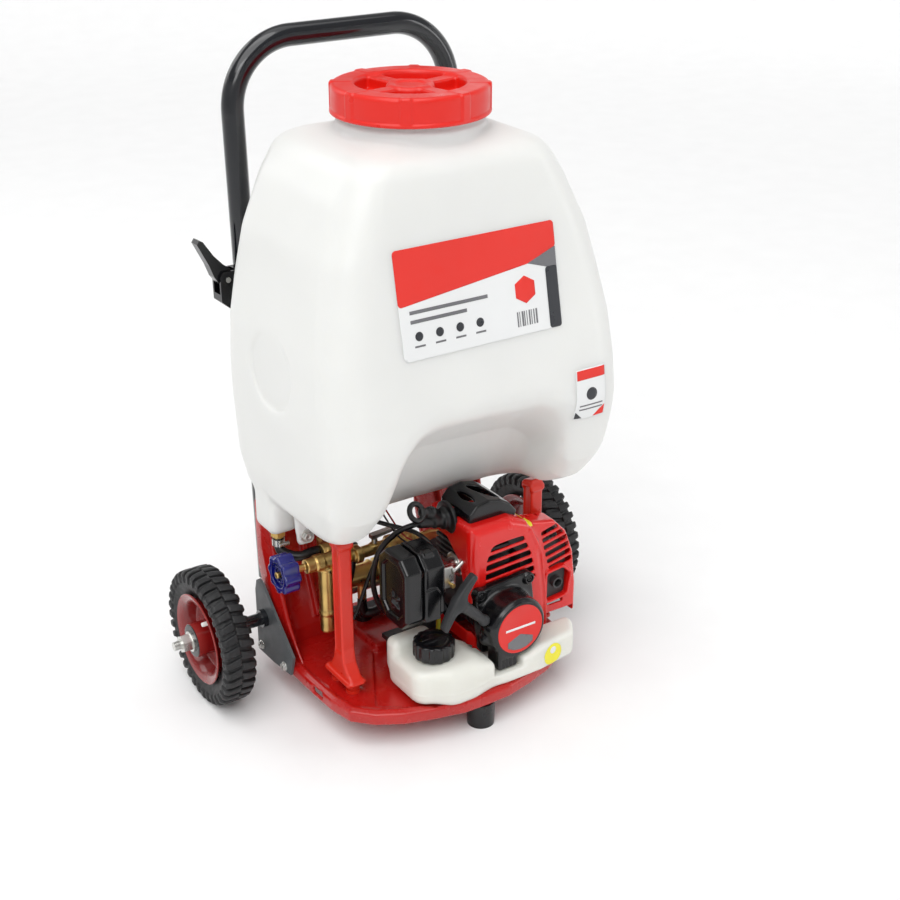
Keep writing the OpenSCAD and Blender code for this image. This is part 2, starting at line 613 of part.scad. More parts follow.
// Rope pulley with its recoil spring's case, on a post
module starter_pulley() color([0.15, 0.15, 0.16]) difference() {
    union() {
        rod_y(24, -141, -138, crank_x, crank_z);
        rod_y(pulley_r - 1.8, -138, -130, crank_x, crank_z);
        rod_y(24, -130, -127, crank_x, crank_z);
        rod_y(12, -127, -108, crank_x, crank_z);
    }
    rod_y(4, -145, -100, crank_x, crank_z);
}
module pull_handle() color([0.08, 0.08, 0.09]) along_pull() difference() {
    union() {
        translate([-33, 0, 64]) rotate([0, 90, 0]) cylinder(r1 = 6.5, r2 = 8.5, h = 33);
        translate([0, 0, 64]) rotate([0, 90, 0]) cylinder(r1 = 8.5, r2 = 6.5, h = 33);
        translate([0, 0, 12]) cylinder(r1 = 5, r2 = 8, h = 52);
    }
    translate([0, 0, 11]) cylinder(r = 2.2, h = 30);
}
module pull_rope() color([0.1, 0.1, 0.1]) along_pull() translate([0, 0, -24]) cylinder(r = 1.8, h = 60, $fn = 16);

// ---------------------------------------------------------------- carburettor, air filter and fuel

intake_y = -66;
module carburettor() color([0.6, 0.6, 0.6]) difference() {
    union() {
        box([-27, -84, 148], [4, -50, 178]);
        rod_x(9, 3, 15.4, intake_y, 165);
        rod_z(9, 138, 148, -12, -68);
        rod_z(6, 178, 186, -14, -66);
    }
    rod_x(5, -30, 16, intake_y, 165);
}
function filter_outline(t) = [[-83 - 30 + t, 170 - 32], [-83 - 18, 170 - 44 + t], [-83 + 18, 170 - 44 + t],
    [-83 + 30 - t, 170 - 32], [-83 + 30 - t, 170 + 32], [-83 + 18, 170 + 44 - t], [-83 - 18, 170 + 44 - t],
    [-83 - 30 + t, 170 + 32]];
choke_y = -96;
choke_z = 146;
module filter_base() color([0.06, 0.06, 0.07]) {
    difference() {
        union() {
            slab_x(filter_outline(0), -57, -30);
            rod_x(12, -31, -27.2, intake_y, 165);
        }
        slab_x(filter_outline(3), -58, -33);
        rod_x(7, -40, -20, intake_y, 165);
    }
    rod_x(2.5, -31, -24.5, choke_y, choke_z);
}
module filter_cover() color([0.05, 0.05, 0.06]) difference() {
    union() {
        slab_x(filter_outline(0), -74, -57.3);
        slab_x(filter_outline(5), -80, -74);
    }
    slab_x(filter_outline(3), -71.5, -57);
    slab_x([[-104, 146], [-62, 146], [-62, 196], [-104, 196]], -81, -77);
}
module choke_lever() color([0.05, 0.05, 0.06]) difference() {
    slab_x([[choke_y + 5, choke_z - 3], [choke_y + 4, choke_z + 5], [choke_y - 5, choke_z + 5],
            [choke_y - 26, choke_z - 12], [choke_y - 24, choke_z - 17], [choke_y, choke_z - 5]], -29.5, -26.5);
    rod_x(2.5 + running, -35, -20, choke_y, choke_z);
}

fuel_cap_x = -45;
fuel_cap_y = -112;
fuel_top = 88;
// Rounded flat-topped block through upright posts given as [x, y, radius]
module block(posts, z0, z1, t) hull() for (q = posts) {
    rod_z(q[2] - 5 - t, z0 + t, z1 - t, q[0], q[1], $fn = 32);
    rod_z(q[2] - t, z0 + 5, z1 - 6, q[0], q[1], $fn = 32);
}
module fuel_form(t) {
    difference() {
        union() {
            block([[-60, -118, 24], [-60, -84, 22], [-18, -128, 26], [-16, -84, 20]], floor_z + 1, fuel_top, t);
            block([[-18, -130, 24], [74, -130, 22], [122, -122, 20]], floor_z + 1, 78, t);
        }
        rod_y(starter_r + 2 + t, -170, -90, crank_x, crank_z);
        box([6 - t, -112 - t, 62 - t], [160, -60, 100]);
        box([10 - t, -160, 62 - t], [46 + t, -110, 100]);
        rod_z(9 + t, 40, 52 + t, 0, foot_y + 4);
    }
    block([[74, -128, 20], [120, -118, 18], [96, -86, 18], [0, -82, 18]], floor_z + 1, 63, t);
}
module fuel_tank() color([0.9, 0.9, 0.86]) difference() {
    union() {
        fuel_form(0);
        rod_z(17, fuel_top - 4, fuel_top + 12, fuel_cap_x, fuel_cap_y);
    }
    fuel_form(2);
    rod_z(14, fuel_top - 8, fuel_top + 13, fuel_cap_x, fuel_cap_y);
}
module fuel_cap() color([0.05, 0.05, 0.06]) translate([fuel_cap_x, fuel_cap_y, fuel_top + 2]) difference() {
    union() {
        cylinder(r = 22.8, h = 22);
        for (k = [0:17]) rotate(20 * k) box([20, -1.6, 0], [24, 1.6, 20]);
    }
    translate([0, 0, -1]) cylinder(r = 17.4, h = 18);
}
module fuel_line() color([0.85, 0.8, 0.15])
    sweep([[-12, -68, 137.7], [-12, -68, 130], [-11, -76, 114], [-10, -86, 102], [-10, -88, 94],
           [-10, -88, fuel_top + 0.3]], 2.5, 2, 8, [1, 0, 0]);
module ignition_lead() color([0.04, 0.04, 0.05])
    sweep([[-24.3, crank_y, 222], [-31, crank_y, 222], [-48, -44, 214], [-64, -30, 188], [-66, -18, 144],
           [-54, -16, 104], [-28, -18, 84], [-2, -20, 92], [12, -20, 104], [17, -20, 105]], 3.2, 3, 8, [0, 1, 0]);
module throttle_cable() color([0.05, 0.05, 0.06])
    sweep([[-14, -66, 186.6], [-14, -66, 193], [-24, -44, 206], [-44, -10, 208], [-60, 30, 206], [-66, 66, 206],
           [-66, panel_y - 0.4, 206]], 2.6, 3, 8, [1, 0, 0]);

// ---------------------------------------------------------------- pump

knob_x = -165;
knob_z = 176;
// Gear case, plunger barrel, brass manifold, air chamber and pressure regulator
module pump_body() color([0.72, 0.57, 0.28]) difference() {
    union() {
        rod_y(36, 22, 56, crank_x, crank_z);
        rod_x(13, -90, 30, 36, 124);
        box([-106, -8, 112], [-84, 48, 188]);
        rod_z(8.5, 84, 170, -114, 4);
        rod_x(6, -114, -100, 4, 150);
        rod_x(9, -142, -100, 4, knob_z);
        rod_x(4, -176, -142, 4, knob_z);
        rod_x(7, -86, -8, 4, 172);
        rod_z(5.5, 158, 170, -24, 4);
        rod_z(5.5, 90, 116, -50, 36);
        translate([-12, 4, 172]) rotate([0, 90, 0]) cylinder(r = 10, h = 12, $fn = 6);
    }
    rod_z(3, 150, 164, -24, 4);
    rod_y(20, 20, 50, crank_x, crank_z);
    rod_x(5, -20, 1, 4, 172);
}
module pressure_knob() color([0.08, 0.12, 0.6]) translate([knob_x, 4, knob_z]) rotate([0, 90, 0]) difference() {
    union() {
        translate([0, 0, -10]) cylinder(r = knob_r - 3.5, h = 20);
        for (k = [0:7]) rotate(45 * k) translate([knob_r - 5, 0, -10]) cylinder(r = 5, h = 20, $fn = 24);
    }
    translate([0, 0, -12]) cylinder(r = 4 + running, h = 30);
    translate([0, 0, -11]) cylinder(r = 12, h = 7);
}
module pump_hoses() color([0.04, 0.04, 0.05]) {
    sweep([[outlet_x, outlet_y, 197.7], [outlet_x, outlet_y, 188], [outlet_x, outlet_y - 1, 182], [-147, 36, 168],
           [-136, 28, 165], [-124, 26, 171], [-114, 26, 174], [-106.4, 26, 174]], 5.75, 3, 10, [0, 1, 0]);
    sweep([[-24, 4, 157.7], [-24, 4, 147], [-24, 4, 140], [-27, 8, 106], [-34, 20, 80], [-45, 34, 70], [-50, 36, 78],
           [-50, 36, 89.7]], 5.75, 3, 10, [1, 0, 0]);
}
module hose_clamps() color([0.7, 0.7, 0.68]) {
    for (q = [[outlet_x, outlet_y, 188.5], [-24, 4, 148.5]]) difference() {
        union() {
            rod_z(7.2, q[2], q[2] + 8, q[0], q[1]);
            rod_x(2.6, q[0] - 4, q[0] + 8, q[1] - 9.5, q[2] + 4);
        }
        rod_z(5.9, q[2] - 1, q[2] + 9, q[0], q[1]);
    }
}
// Lever of the outlet tap
tap_x = -50;
module outlet_tap() color([0.75, 0.76, 0.78]) {
    rod_z(3.5, 179.5, 188, tap_x, 4);
    slab_y([[tap_x - 5, 186], [tap_x + 26, 190], [tap_x + 26, 193], [tap_x - 5, 191]], 0, 8);
}

base_frame();
front_foot();
leg_left();
leg_right();
leg_bushes();
frame_bolts();
bracket_left();
bracket_right();
axle();
axle_sleeves();
axle_nuts();
tyre_left();
tyre_right();
inner_tube_left();
inner_tube_right();
rim_left();
rim_right();
bearings_left();
bearings_right();
dust_caps_left();
dust_caps_right();
lower_tubes();
handle_tube();
clamp_fittings();
clamp_bodies();
clamp_lever_left();
clamp_lever_right();
tank();
tank_cap();
cap_gasket();
strainer();
tank_outlet();
engine_mounts();
crankcase();
cylinder_block();
flywheel();
spark_plug();
plug_boot();
ignition_lead();
engine_shroud();
top_cover();
muffler();
starter_housing();
starter_badge();
starter_pulley();
pull_handle();
pull_rope();
carburettor();
choke_lever();
filter_base();
filter_cover();
fuel_tank();
fuel_cap();
fuel_line();
throttle_cable();
pump_body();
pressure_knob();
pump_hoses();
hose_clamps();
outlet_tap();
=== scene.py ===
"""Looks of the wheeled sprayer cart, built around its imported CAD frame.

Moulded pieces are distance fields in millimetres, turned into meshes. Everything else is in metres.
"""
import json
import math

import bpy
import numpy as np
import openvdb
from mathutils import Matrix, Vector
from mathutils.bvhtree import BVHTree
from mathutils.geometry import delaunay_2d_cdt


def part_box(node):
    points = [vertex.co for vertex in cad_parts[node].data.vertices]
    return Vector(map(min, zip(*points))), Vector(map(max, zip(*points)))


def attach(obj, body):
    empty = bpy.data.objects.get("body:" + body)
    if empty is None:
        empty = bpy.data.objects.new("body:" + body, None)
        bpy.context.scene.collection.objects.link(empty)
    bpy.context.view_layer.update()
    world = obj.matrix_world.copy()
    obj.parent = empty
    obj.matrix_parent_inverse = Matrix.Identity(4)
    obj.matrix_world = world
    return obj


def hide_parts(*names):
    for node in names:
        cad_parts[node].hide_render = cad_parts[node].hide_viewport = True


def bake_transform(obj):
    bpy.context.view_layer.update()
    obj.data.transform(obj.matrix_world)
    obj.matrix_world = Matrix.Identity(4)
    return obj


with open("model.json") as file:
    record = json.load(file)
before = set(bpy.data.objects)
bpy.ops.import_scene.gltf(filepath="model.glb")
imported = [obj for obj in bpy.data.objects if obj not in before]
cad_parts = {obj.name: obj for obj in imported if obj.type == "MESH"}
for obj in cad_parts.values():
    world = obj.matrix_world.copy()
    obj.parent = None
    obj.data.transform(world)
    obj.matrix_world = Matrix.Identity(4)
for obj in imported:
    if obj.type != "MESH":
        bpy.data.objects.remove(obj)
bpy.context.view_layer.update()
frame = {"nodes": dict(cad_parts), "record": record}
nodes = frame["nodes"]
MM = 0.001
SIDES = (-1, 1)
SIDE_NAMES = ((-1, "left"), (1, "right"))

# ---------------------------------------------------------------- places taken from the frame, in millimetres


def span(node):
    """Lowest and highest corner of a CAD node, in millimetres."""
    low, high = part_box(node)
    return np.array(low) / MM, np.array(high) / MM


def middle(node):
    low, high = span(node)
    return (low + high) / 2


WHEEL = {-1: middle("tyre_left"), 1: middle("tyre_right")}
LEG = {-1: middle("leg_left"), 1: middle("leg_right")}
CAP = middle("tank_cap")
CAP_TOP = span("tank_cap")[1][2]
FUEL_CAP = middle("fuel_cap")
KNOB = middle("pressure_knob")
STARTER = middle("starter_badge")
OUTLET = middle("tank_outlet")
CRANK_Y = middle("spark_plug")[1]

# ---------------------------------------------------------------- materials


def link(tree, a, b):
    tree.links.new(a, b)


def noise(tree, coords, scale, detail=4.0, stretch=(1, 1, 1)):
    place = tree.nodes.new("ShaderNodeMapping")
    place.inputs["Scale"].default_value = stretch
    link(tree, coords, place.inputs["Vector"])
    n = tree.nodes.new("ShaderNodeTexNoise")
    n.inputs["Scale"].default_value = scale
    n.inputs["Detail"].default_value = detail
    link(tree, place.outputs["Vector"], n.inputs["Vector"])
    return n.outputs["Fac"]


def spread(tree, fac, low, high, start=0.3, end=0.7):
    m = tree.nodes.new("ShaderNodeMapRange")
    for name, value in (("From Min", start), ("From Max", end), ("To Min", low), ("To Max", high)):
        m.inputs[name].default_value = value
    link(tree, fac, m.inputs["Value"])
    return m.outputs["Result"]


def blend_colours(tree, fac, a, b):
    m = tree.nodes.new("ShaderNodeMix")
    m.data_type = "RGBA"
    for socket, value in ((m.inputs[6], a), (m.inputs[7], b)):
        if isinstance(value, tuple):
            socket.default_value = (*value, 1)
        else:
            link(tree, value, socket)
    link(tree, fac, m.inputs[0])
    return m.outputs[2]


def finish(name, colour, rough, metal=0.0, mottle=0.10, mottle_scale=14.0, grain=0.15, grain_scale=700.0,
           stretch=(1, 1, 1), wear=None, **sockets):
    """A material with cloudy colour, uneven gloss and a fine grain. The colour given for edges is laid on sharp
    convex edges; on the rim it is a painted highlight.
    """
    m = bpy.data.materials.new(name)
    m.use_nodes = True
    tree = m.node_tree
    shader = tree.nodes["Principled BSDF"]
    coords = tree.nodes.new("ShaderNodeTexCoord").outputs["Object"]
    cloud = noise(tree, coords, mottle_scale)
    dark = tuple(c * (1 - mottle) for c in colour)
    light = tuple(min(1, c * (1 + mottle)) for c in colour)
    base = blend_colours(tree, spread(tree, cloud, 0, 1), dark, light)
    if wear:
        # sharp convex edges, found by pointiness, get the edge colour: a painted highlight on the rim
        edge = tree.nodes.new("ShaderNodeNewGeometry").outputs["Pointiness"]
        base = blend_colours(tree, spread(tree, edge, 0, 0.35, 0.53, 0.62), base, wear)
    link(tree, base, shader.inputs["Base Color"])
    fine = noise(tree, coords, grain_scale, 2.0, stretch)
    gloss = noise(tree, coords, mottle_scale * 4, 5.0, stretch)
    link(tree, spread(tree, gloss, max(0.02, rough * 0.8), min(1, rough * 1.25)), shader.inputs["Roughness"])
    bump = tree.nodes.new("ShaderNodeBump")
    bump.inputs["Strength"].default_value = grain
    bump.inputs["Distance"].default_value = 0.0002
    link(tree, fine, bump.inputs["Height"])
    link(tree, bump.outputs["Normal"], shader.inputs["Normal"])
    shader.inputs["Metallic"].default_value = metal
    for socket, value in sockets.items():
        shader.inputs[socket.replace("_", " ")].default_value = value
    return m


FINISHES = {}
MOULDED = dict(mottle=0.05, grain=0.10, grain_scale=420)


def slot_finish(name, *look, **details):
    """The finish of a material slot of the record."""
    FINISHES[name] = finish(name, *look, **details)


slot_finish("red_moulding", (0.46, 0.008, 0.006), 0.25, Coat_Weight=0.25, mottle=0.10,
            grain=0.12, grain_scale=420)
slot_finish("orange_moulding", (0.66, 0.022, 0.008), 0.33, **MOULDED)
slot_finish("rubber", (0.005, 0.005, 0.006), 0.32, mottle=0.2, grain=0.3, grain_scale=900)
slot_finish("zinc", (0.66, 0.66, 0.63), 0.28, metal=1.0, mottle=0.06, grain=0.04)
slot_finish("steel", (0.5, 0.5, 0.52), 0.3, metal=1.0, stretch=(1, 1, 12))
slot_finish("grey_paint", (0.050, 0.064, 0.070), 0.42, grain=0.35, grain_scale=1500,
            wear=(0.2, 0.21, 0.22))
slot_finish("black_paint", (0.003, 0.004, 0.007), 0.16, Coat_Weight=0.5, grain=0.25, grain_scale=900)
slot_finish("tyre", (0.008, 0.008, 0.009), 0.5, mottle=0.35, mottle_scale=40, grain=0.6, grain_scale=1300,
            wear=(0.05, 0.05, 0.048))
# the pink edge colour of the rim paint is a painted highlight on the rim's lip and edges
slot_finish("rim_paint", (0.22, 0.006, 0.006), 0.22, Coat_Weight=0.4, wear=(0.6, 0.12, 0.10))
slot_finish("black_plastic", (0.004, 0.004, 0.005), 0.20, mottle=0.2, grain=0.25, grain_scale=650)
slot_finish("grip_plastic", (0.022, 0.023, 0.025), 0.5, grain=0.7, grain_scale=1200)
slot_finish("tank_plastic", (0.79, 0.795, 0.775), 0.36, mottle=0.02, mottle_scale=7, grain=0.12,
            grain_scale=260, Subsurface_Weight=0.45, Subsurface_Radius=(1.0, 0.97, 0.9),
            Subsurface_Scale=0.03)
slot_finish("cap_plastic", (0.76, 0.016, 0.008), 0.34, **MOULDED)
slot_finish("brass", (0.66, 0.45, 0.16), 0.34, metal=1.0, mottle=0.25, mottle_scale=45, grain=0.4,
            grain_scale=500)
slot_finish("cast_metal", (0.08, 0.08, 0.084), 0.45, metal=0.9, mottle=0.2, grain=0.8, grain_scale=420)
slot_finish("ceramic", (0.85, 0.85, 0.82), 0.2)
slot_finish("shroud_plastic", (0.72, 0.008, 0.006), 0.22, Coat_Weight=0.3, **MOULDED)
slot_finish("muffler_steel", (0.06, 0.06, 0.062), 0.55, metal=0.6, mottle=0.3, grain=0.7)
slot_finish("badge_plastic", (0.72, 0.020, 0.014), 0.48, **MOULDED)
slot_finish("cord", (0.02, 0.02, 0.02), 0.8, grain=1.0, grain_scale=1600, stretch=(1, 1, 4))
slot_finish("fuel_plastic", (0.77, 0.77, 0.71), 0.38, mottle=0.03, grain=0.15, grain_scale=300,
            Subsurface_Weight=0.4, Subsurface_Radius=(1.0, 0.97, 0.88), Subsurface_Scale=0.02)
slot_finish("fuel_hose", (0.72, 0.66, 0.05), 0.2, Transmission_Weight=0.5)
slot_finish("blue_plastic", (0.004, 0.006, 0.14), 0.20, mottle=0.25, mottle_scale=90, grain=0.5,
            grain_scale=350, Coat_Weight=0.4)
label_white = finish("label_white", (0.80, 0.81, 0.81), 0.5, mottle=0.02, grain=0.05)
label_red = finish("label_red", (0.76, 0.026, 0.016), 0.5, mottle=0.03, grain=0.05)
label_dark = finish("label_dark", (0.030, 0.032, 0.038), 0.32, mottle=0.10)
label_grey = finish("label_grey", (0.16, 0.16, 0.17), 0.35, mottle=0.10)
label_yellow = finish("label_yellow", (0.88, 0.80, 0.03), 0.35, mottle=0.04)

for part in frame["record"]["subparts"]:
    node = nodes[part["node"]]
    node.data.materials.clear()
    node.data.materials.append(FINISHES[part["material_slot"]])

# ---------------------------------------------------------------- distance fields


class Space:
    """A box of sample points, in millimetres."""

    def __init__(self, low, high, step):
        self.low, self.step = np.array(low, float) - 2 * step, step
        count = np.ceil((np.array(high, float) + 2 * step - self.low) / step).astype(int) + 1
        self.shape = tuple(count)
        axes = [(self.low[k] + step * np.arange(count[k])).astype(np.float32) for k in range(3)]
        self.x, self.y, self.z = np.meshgrid(*axes, indexing="ij", sparse=True)

    def axes(self, axis):
        """The two coordinates across an axis, then the one along it."""
        x, y, z = self.x, self.y, self.z
        return {"x": (y, z, x), "y": (x, z, y), "z": (x, y, z)}[axis]


def both(a, b, k=0.0):
    """Union, with a fillet of about k."""
    if not k:
        return np.minimum(a, b)
    h = np.maximum(k - np.abs(a - b), 0) / k
    return np.minimum(a, b) - h * h * k / 4


def shared(a, b, k=0.0):
    return -both(-a, -b, k)


def cut(a, b, k=0.0):
    return shared(a, -b, k)


def joined(body, *parts):
    """Unions a body with each (part, fillet) in turn."""
    for part, k in parts:
        body = both(body, part, k)
    return body


def block(s, low, high, r=0.0):
    """A box with rounded edges."""
    low, high = np.array(low, float), np.array(high, float)
    c, h = (low + high) / 2, (high - low) / 2 - r
    q = [np.abs(v - c[k]) - h[k] for k, v in enumerate((s.x, s.y, s.z))]
    out = np.sqrt(sum(np.maximum(v, 0) ** 2 for v in q))
    return out + np.minimum(np.maximum(np.maximum(q[0], q[1]), q[2]), 0) - r


def thick(flat, along, a0, a1, r=0.0):
    """A flat field given a thickness, with rounded edges."""
    w = np.abs(along - (a0 + a1) / 2) - ((a1 - a0) / 2 - r)
    f = flat + r
    return np.minimum(np.maximum(f, w), 0) + np.sqrt(np.maximum(f, 0) ** 2 + np.maximum(w, 0) ** 2) - r


def rod(s, axis, u, v, radius, a0, a1, r=0.0):
    p, q, along = s.axes(axis)
    return thick(np.sqrt((p - u) ** 2 + (q - v) ** 2) - radius, along, a0, a1, r)


def outline(p, q, points):
    """Distance to a closed outline in two coordinates."""
    n = len(points)
    best, inside = None, None
    for k in range(n):
        (ax, ay), (bx, by) = points[k], points[(k + 1) % n]
        ex, ey = bx - ax, by - ay
        t = np.clip(((p - ax) * ex + (q - ay) * ey) / (ex * ex + ey * ey), 0, 1)
        d = (p - ax - ex * t) ** 2 + (q - ay - ey * t) ** 2
        best = d if best is None else np.minimum(best, d)
        crossing = ((ay > q) != (by > q)) & (p < ax + (q - ay) * ex / (ey if ey else 1e-9))
        inside = crossing if inside is None else inside ^ crossing
    return np.where(inside, -1, 1) * np.sqrt(best)


def plate(s, axis, points, a0, a1, r=0.0, corner=0.0):
    """An outline with rounded corners, given a thickness along an axis."""
    p, q, along = s.axes(axis)
    flat = outline(p, q, points)
    if corner:
        flat = flat - corner
    return thick(flat, along, a0, a1, r)


def capsule(s, a, b, ra, rb=None):
    """A round bar between two points, which may taper."""
    a, b = np.array(a, float), np.array(b, float)
    d = b - a
    t = np.clip(((s.x - a[0]) * d[0] + (s.y - a[1]) * d[1] + (s.z - a[2]) * d[2]) / (d @ d), 0, 1)
    radius = ra if rb is None else ra + (rb - ra) * t
    return np.sqrt((s.x - a[0] - d[0] * t) ** 2 + (s.y - a[1] - d[1] * t) ** 2
                   + (s.z - a[2] - d[2] * t) ** 2) - radius


def skin(name, s, field):
    """A mesh of the field's surface, in metres."""
    grid = openvdb.FloatGrid(background=float(4 * s.step))
    grid.copyFromArray(np.array(np.broadcast_to(field, s.shape), dtype=np.float32, order="C"))
    points, quads = grid.convertToQuads(0.0)
    co = (s.low + np.array(points) * s.step) * MM
    mesh = bpy.data.meshes.new(name)
    mesh.from_pydata(co.tolist(), [], np.array(quads).tolist())
    mesh.shade_smooth()
    return mesh


# ---------------------------------------------------------------- pieces


def in_scene(name, data):
    """A new object for a mesh, lamp or camera, linked to the scene."""
    obj = bpy.data.objects.new(name, data)
    bpy.context.scene.collection.objects.link(obj)
    return obj


def piece(name, mesh, body, slot, *replaced, material=None):
    """Adds a mesh to the scene as a piece that rides on a body and wears a slot's finish."""
    obj = in_scene(name, mesh)
    if not mesh.materials:
        mesh.materials.append(material or FINISHES[slot])
    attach(obj, body)
    if replaced:
        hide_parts(*replaced)
    return obj


def mesh_of(name, points, faces, angle=35):
    """A smooth mesh, with an edge wherever its faces meet at more than an angle in degrees."""
    mesh = bpy.data.meshes.new(name)
    mesh.from_pydata(points, [], faces)
    mesh.shade_smooth()
    mesh.set_sharp_from_angle(angle=math.radians(angle))
    return mesh


def turned(name, profile, steps=96, place=Matrix.Identity(4)):
    """A mesh turned around Z through (radius, height) points, in millimetres, and put in its place."""
    n = len(profile)
    co = [place @ Vector((r * MM * math.cos(a), r * MM * math.sin(a), h * MM))
          for a in (2 * math.pi * k / steps for k in range(steps)) for r, h in profile]
    faces = [(k * n + i, ((k + 1) % steps) * n + i, ((k + 1) % steps) * n + (i + 1) % n, k * n + (i + 1) % n)
             for k in range(steps) for i in range(n)]
    return mesh_of(name, co, faces)


def spline(points, t):
    """A point of the smooth curve through the points, as the CAD routes have it."""
    p = [Vector(q) for q in points]
    n = len(p) - 1
    i = min(int(t), n - 1)
    u = t - i
    a, b, c, d = p[max(i - 1, 0)], p[i], p[i + 1], p[min(i + 2, n)]
    return 0.5 * (2 * b + (c - a) * u + (2 * a - 5 * b + 4 * c - d) * u ** 2 + (3 * b - a - 3 * c + d) * u ** 3)


def hose(name, points, radius, steps=8, sides=20):
    """A round hose through points, in millimetres, with its ends closed."""
    path = [spline(points, k / steps) for k in range((len(points) - 1) * steps + 1)]
    co, faces = [], []
    side = None
    for k, p in enumerate(path):
        t = (path[min(k + 1, len(path) - 1)] - path[max(k - 1, 0)]).normalized()
        side = (side - t * side.dot(t)).normalized() if side else t.orthogonal().normalized()
        other = t.cross(side)
        for s in range(sides):
            a = 2 * math.pi * s / sides
            co.append((p + radius * (side * math.cos(a) + other * math.sin(a))) * MM)
    for k in range(len(path) - 1):
        for s in range(sides):
            faces.append((k * sides + s, k * sides + (s + 1) % sides, (k + 1) * sides + (s + 1) % sides,
                          (k + 1) * sides + s))
    faces.append(tuple(reversed(range(sides))))
    faces.append(tuple(len(co) - sides + s for s in range(sides)))
    return mesh_of(name, co, faces, 50)


def seated(name, s, field, place, axis, slot, body="cart"):
    """A fastener's head. place is its seat in millimetres, and axis points out of the head."""
    mesh = skin(name, s, field)
    turn = Vector((0, 0, 1)).rotation_difference(Vector(axis)).to_matrix().to_4x4()
    mesh.transform(Matrix.Translation(Vector(place) * MM) @ turn)
    return piece(name, mesh, body, slot)


def hex_bolt(name, place, axis, across, height, washer=0.0):
    """A hexagon head with a dished top, on a washer of the given radius."""
    washer_top = 1.6
    r_out = max(across * 0.6, washer)
    s = Space((-r_out, -r_out, -1), (r_out, r_out, height + washer_top), 0.5)
    r = np.sqrt(s.x ** 2 + s.y ** 2)
    corner_r = across / 2 / math.cos(math.pi / 6)
    corners = [(corner_r * math.cos(math.pi / 3 * k), corner_r * math.sin(math.pi / 3 * k)) for k in range(6)]
    top = height + (washer_top if washer else 0)
    dome = np.sqrt(r ** 2 + (s.z - top + across * 1.6) ** 2) - across * 1.68
    head = shared(plate(s, "z", corners, -1, top, 0.4), dome, 0.3)
    head = cut(head, thick(r - across * 0.22, s.z, top - 0.8, top + 3, 0.3))
    if washer:
        head = both(head, thick(r - washer, s.z, -1, 1.5, 0.4), 0.4)
    return seated(name, s, head, place, axis, "zinc")


def screw(name, place, axis, radius, height, slot):
    """A pan head with a cross recess."""
    s = Space((-radius, -radius, -1), (radius, radius, height), 0.35 if radius < 5 else 0.5)
    r = np.sqrt(s.x ** 2 + s.y ** 2)
    dome = np.sqrt(r ** 2 + (s.z + radius) ** 2) - radius - height
    head = shared(thick(r - radius, s.z, -1, height, 0.5), dome, 0.5)
    cross = np.minimum(np.maximum(np.abs(s.x) - 0.5, np.abs(s.y) - radius * 0.6),
                       np.maximum(np.abs(s.y) - 0.5, np.abs(s.x) - radius * 0.6))
    return seated(name, s, cut(head, np.maximum(cross, height * 0.45 - s.z)), place, axis, slot)


# ---------------------------------------------------------------- wheels

LUGS = 36
TYRE_R, TYRE_HALF = 80.0, 19.4


def mirrored(points):
    """The other half of an outline whose second coordinate changes sign, in reverse order."""
    return [(r, -h) for r, h in reversed(points)]


def tyre_mesh():
    """A tyre around Z: two rows of lugs half a pitch apart, that run down onto the sidewalls."""
    s = Space((-81, -81, -20), (81, 81, 20), 1.0)
    r = np.sqrt(s.x ** 2 + s.y ** 2)
    a = np.arctan2(s.y, s.x) / (2 * math.pi) * LUGS
    side = np.abs(s.z)
    wall = [(47.5, -12), (50, -13), (56, -15), (64, -18), (70, -18.6), (75, -16.5), (77.2, -9)]
    casing = outline(r, s.z, wall + [(77.6, 0)] + mirrored(wall)) + 1.2
    tread = [(66.5, 0), (66.5, 19), (70, TYRE_HALF), (76.5, 18.6), (79.4, 15), (TYRE_R, 8), (TYRE_R, 0)]
    lug = shared(outline(r, side, tread), -(r - 60))
    phase = a + np.where(s.z > 0, 0.5, 0.0) + 0.014 * side
    apart = np.abs((phase + 0.5) % 1.0 - 0.5) * 2 * math.pi / LUGS * r
    half_lug = np.where(r > 76, 4.9 - 0.075 * side, 3.4)
    lug = shared(lug, apart - half_lug, 1.0)
    dimple = np.sqrt(apart ** 2 + (r - 72.5) ** 2 + ((side - 20.6) * 1.2) ** 2) - 2.6
    inner = outline(r, s.z, [(46, -10.5), (57, -12.5), (57, 12.5), (46, 10.5)])
    return skin("tyre", s, cut(cut(both(casing, lug, 1.2), dimple, 0.6), inner, 1.0))


def at_wheel(s):
    x, y, z = WHEEL[s] * MM
    return Matrix.Translation((x, y, z)) @ Matrix.Rotation(s * math.pi / 2, 4, "Y")


RIM_WELL = [(41.5, -9), (43.5, -14.5), (46, -17), (50, -18), (52.3, -18.8), (53.4, -18.2), (53.4, -17),
            (52, -16.4), (48.5, -15.5), (46.6, -13), (45.2, -8)]
RIM_PROFILE = [(16, -24), (19.5, -24), (19.5, -6), (21, -4.4), (36, -3), (39.5, -5), *RIM_WELL,
               *mirrored(RIM_WELL), (39.5, 1), (36, -1), (21, -2.4), (19.5, -1), (19.5, 24), (16, 24)]
SEAL_PROFILE = [(8, 22.5), (8, 24.2), (12, 24.9), (17.5, 24.9), (18.8, 24.6), (19.3, 24.0), (19.3, 23.5),
                (15, 22.5)]
VALVE_PROFILE = [(0.1, 0), (3.2, 0), (3.2, 5), (2.6, 6), (2.6, 15), (2.2, 16), (0.1, 16)]

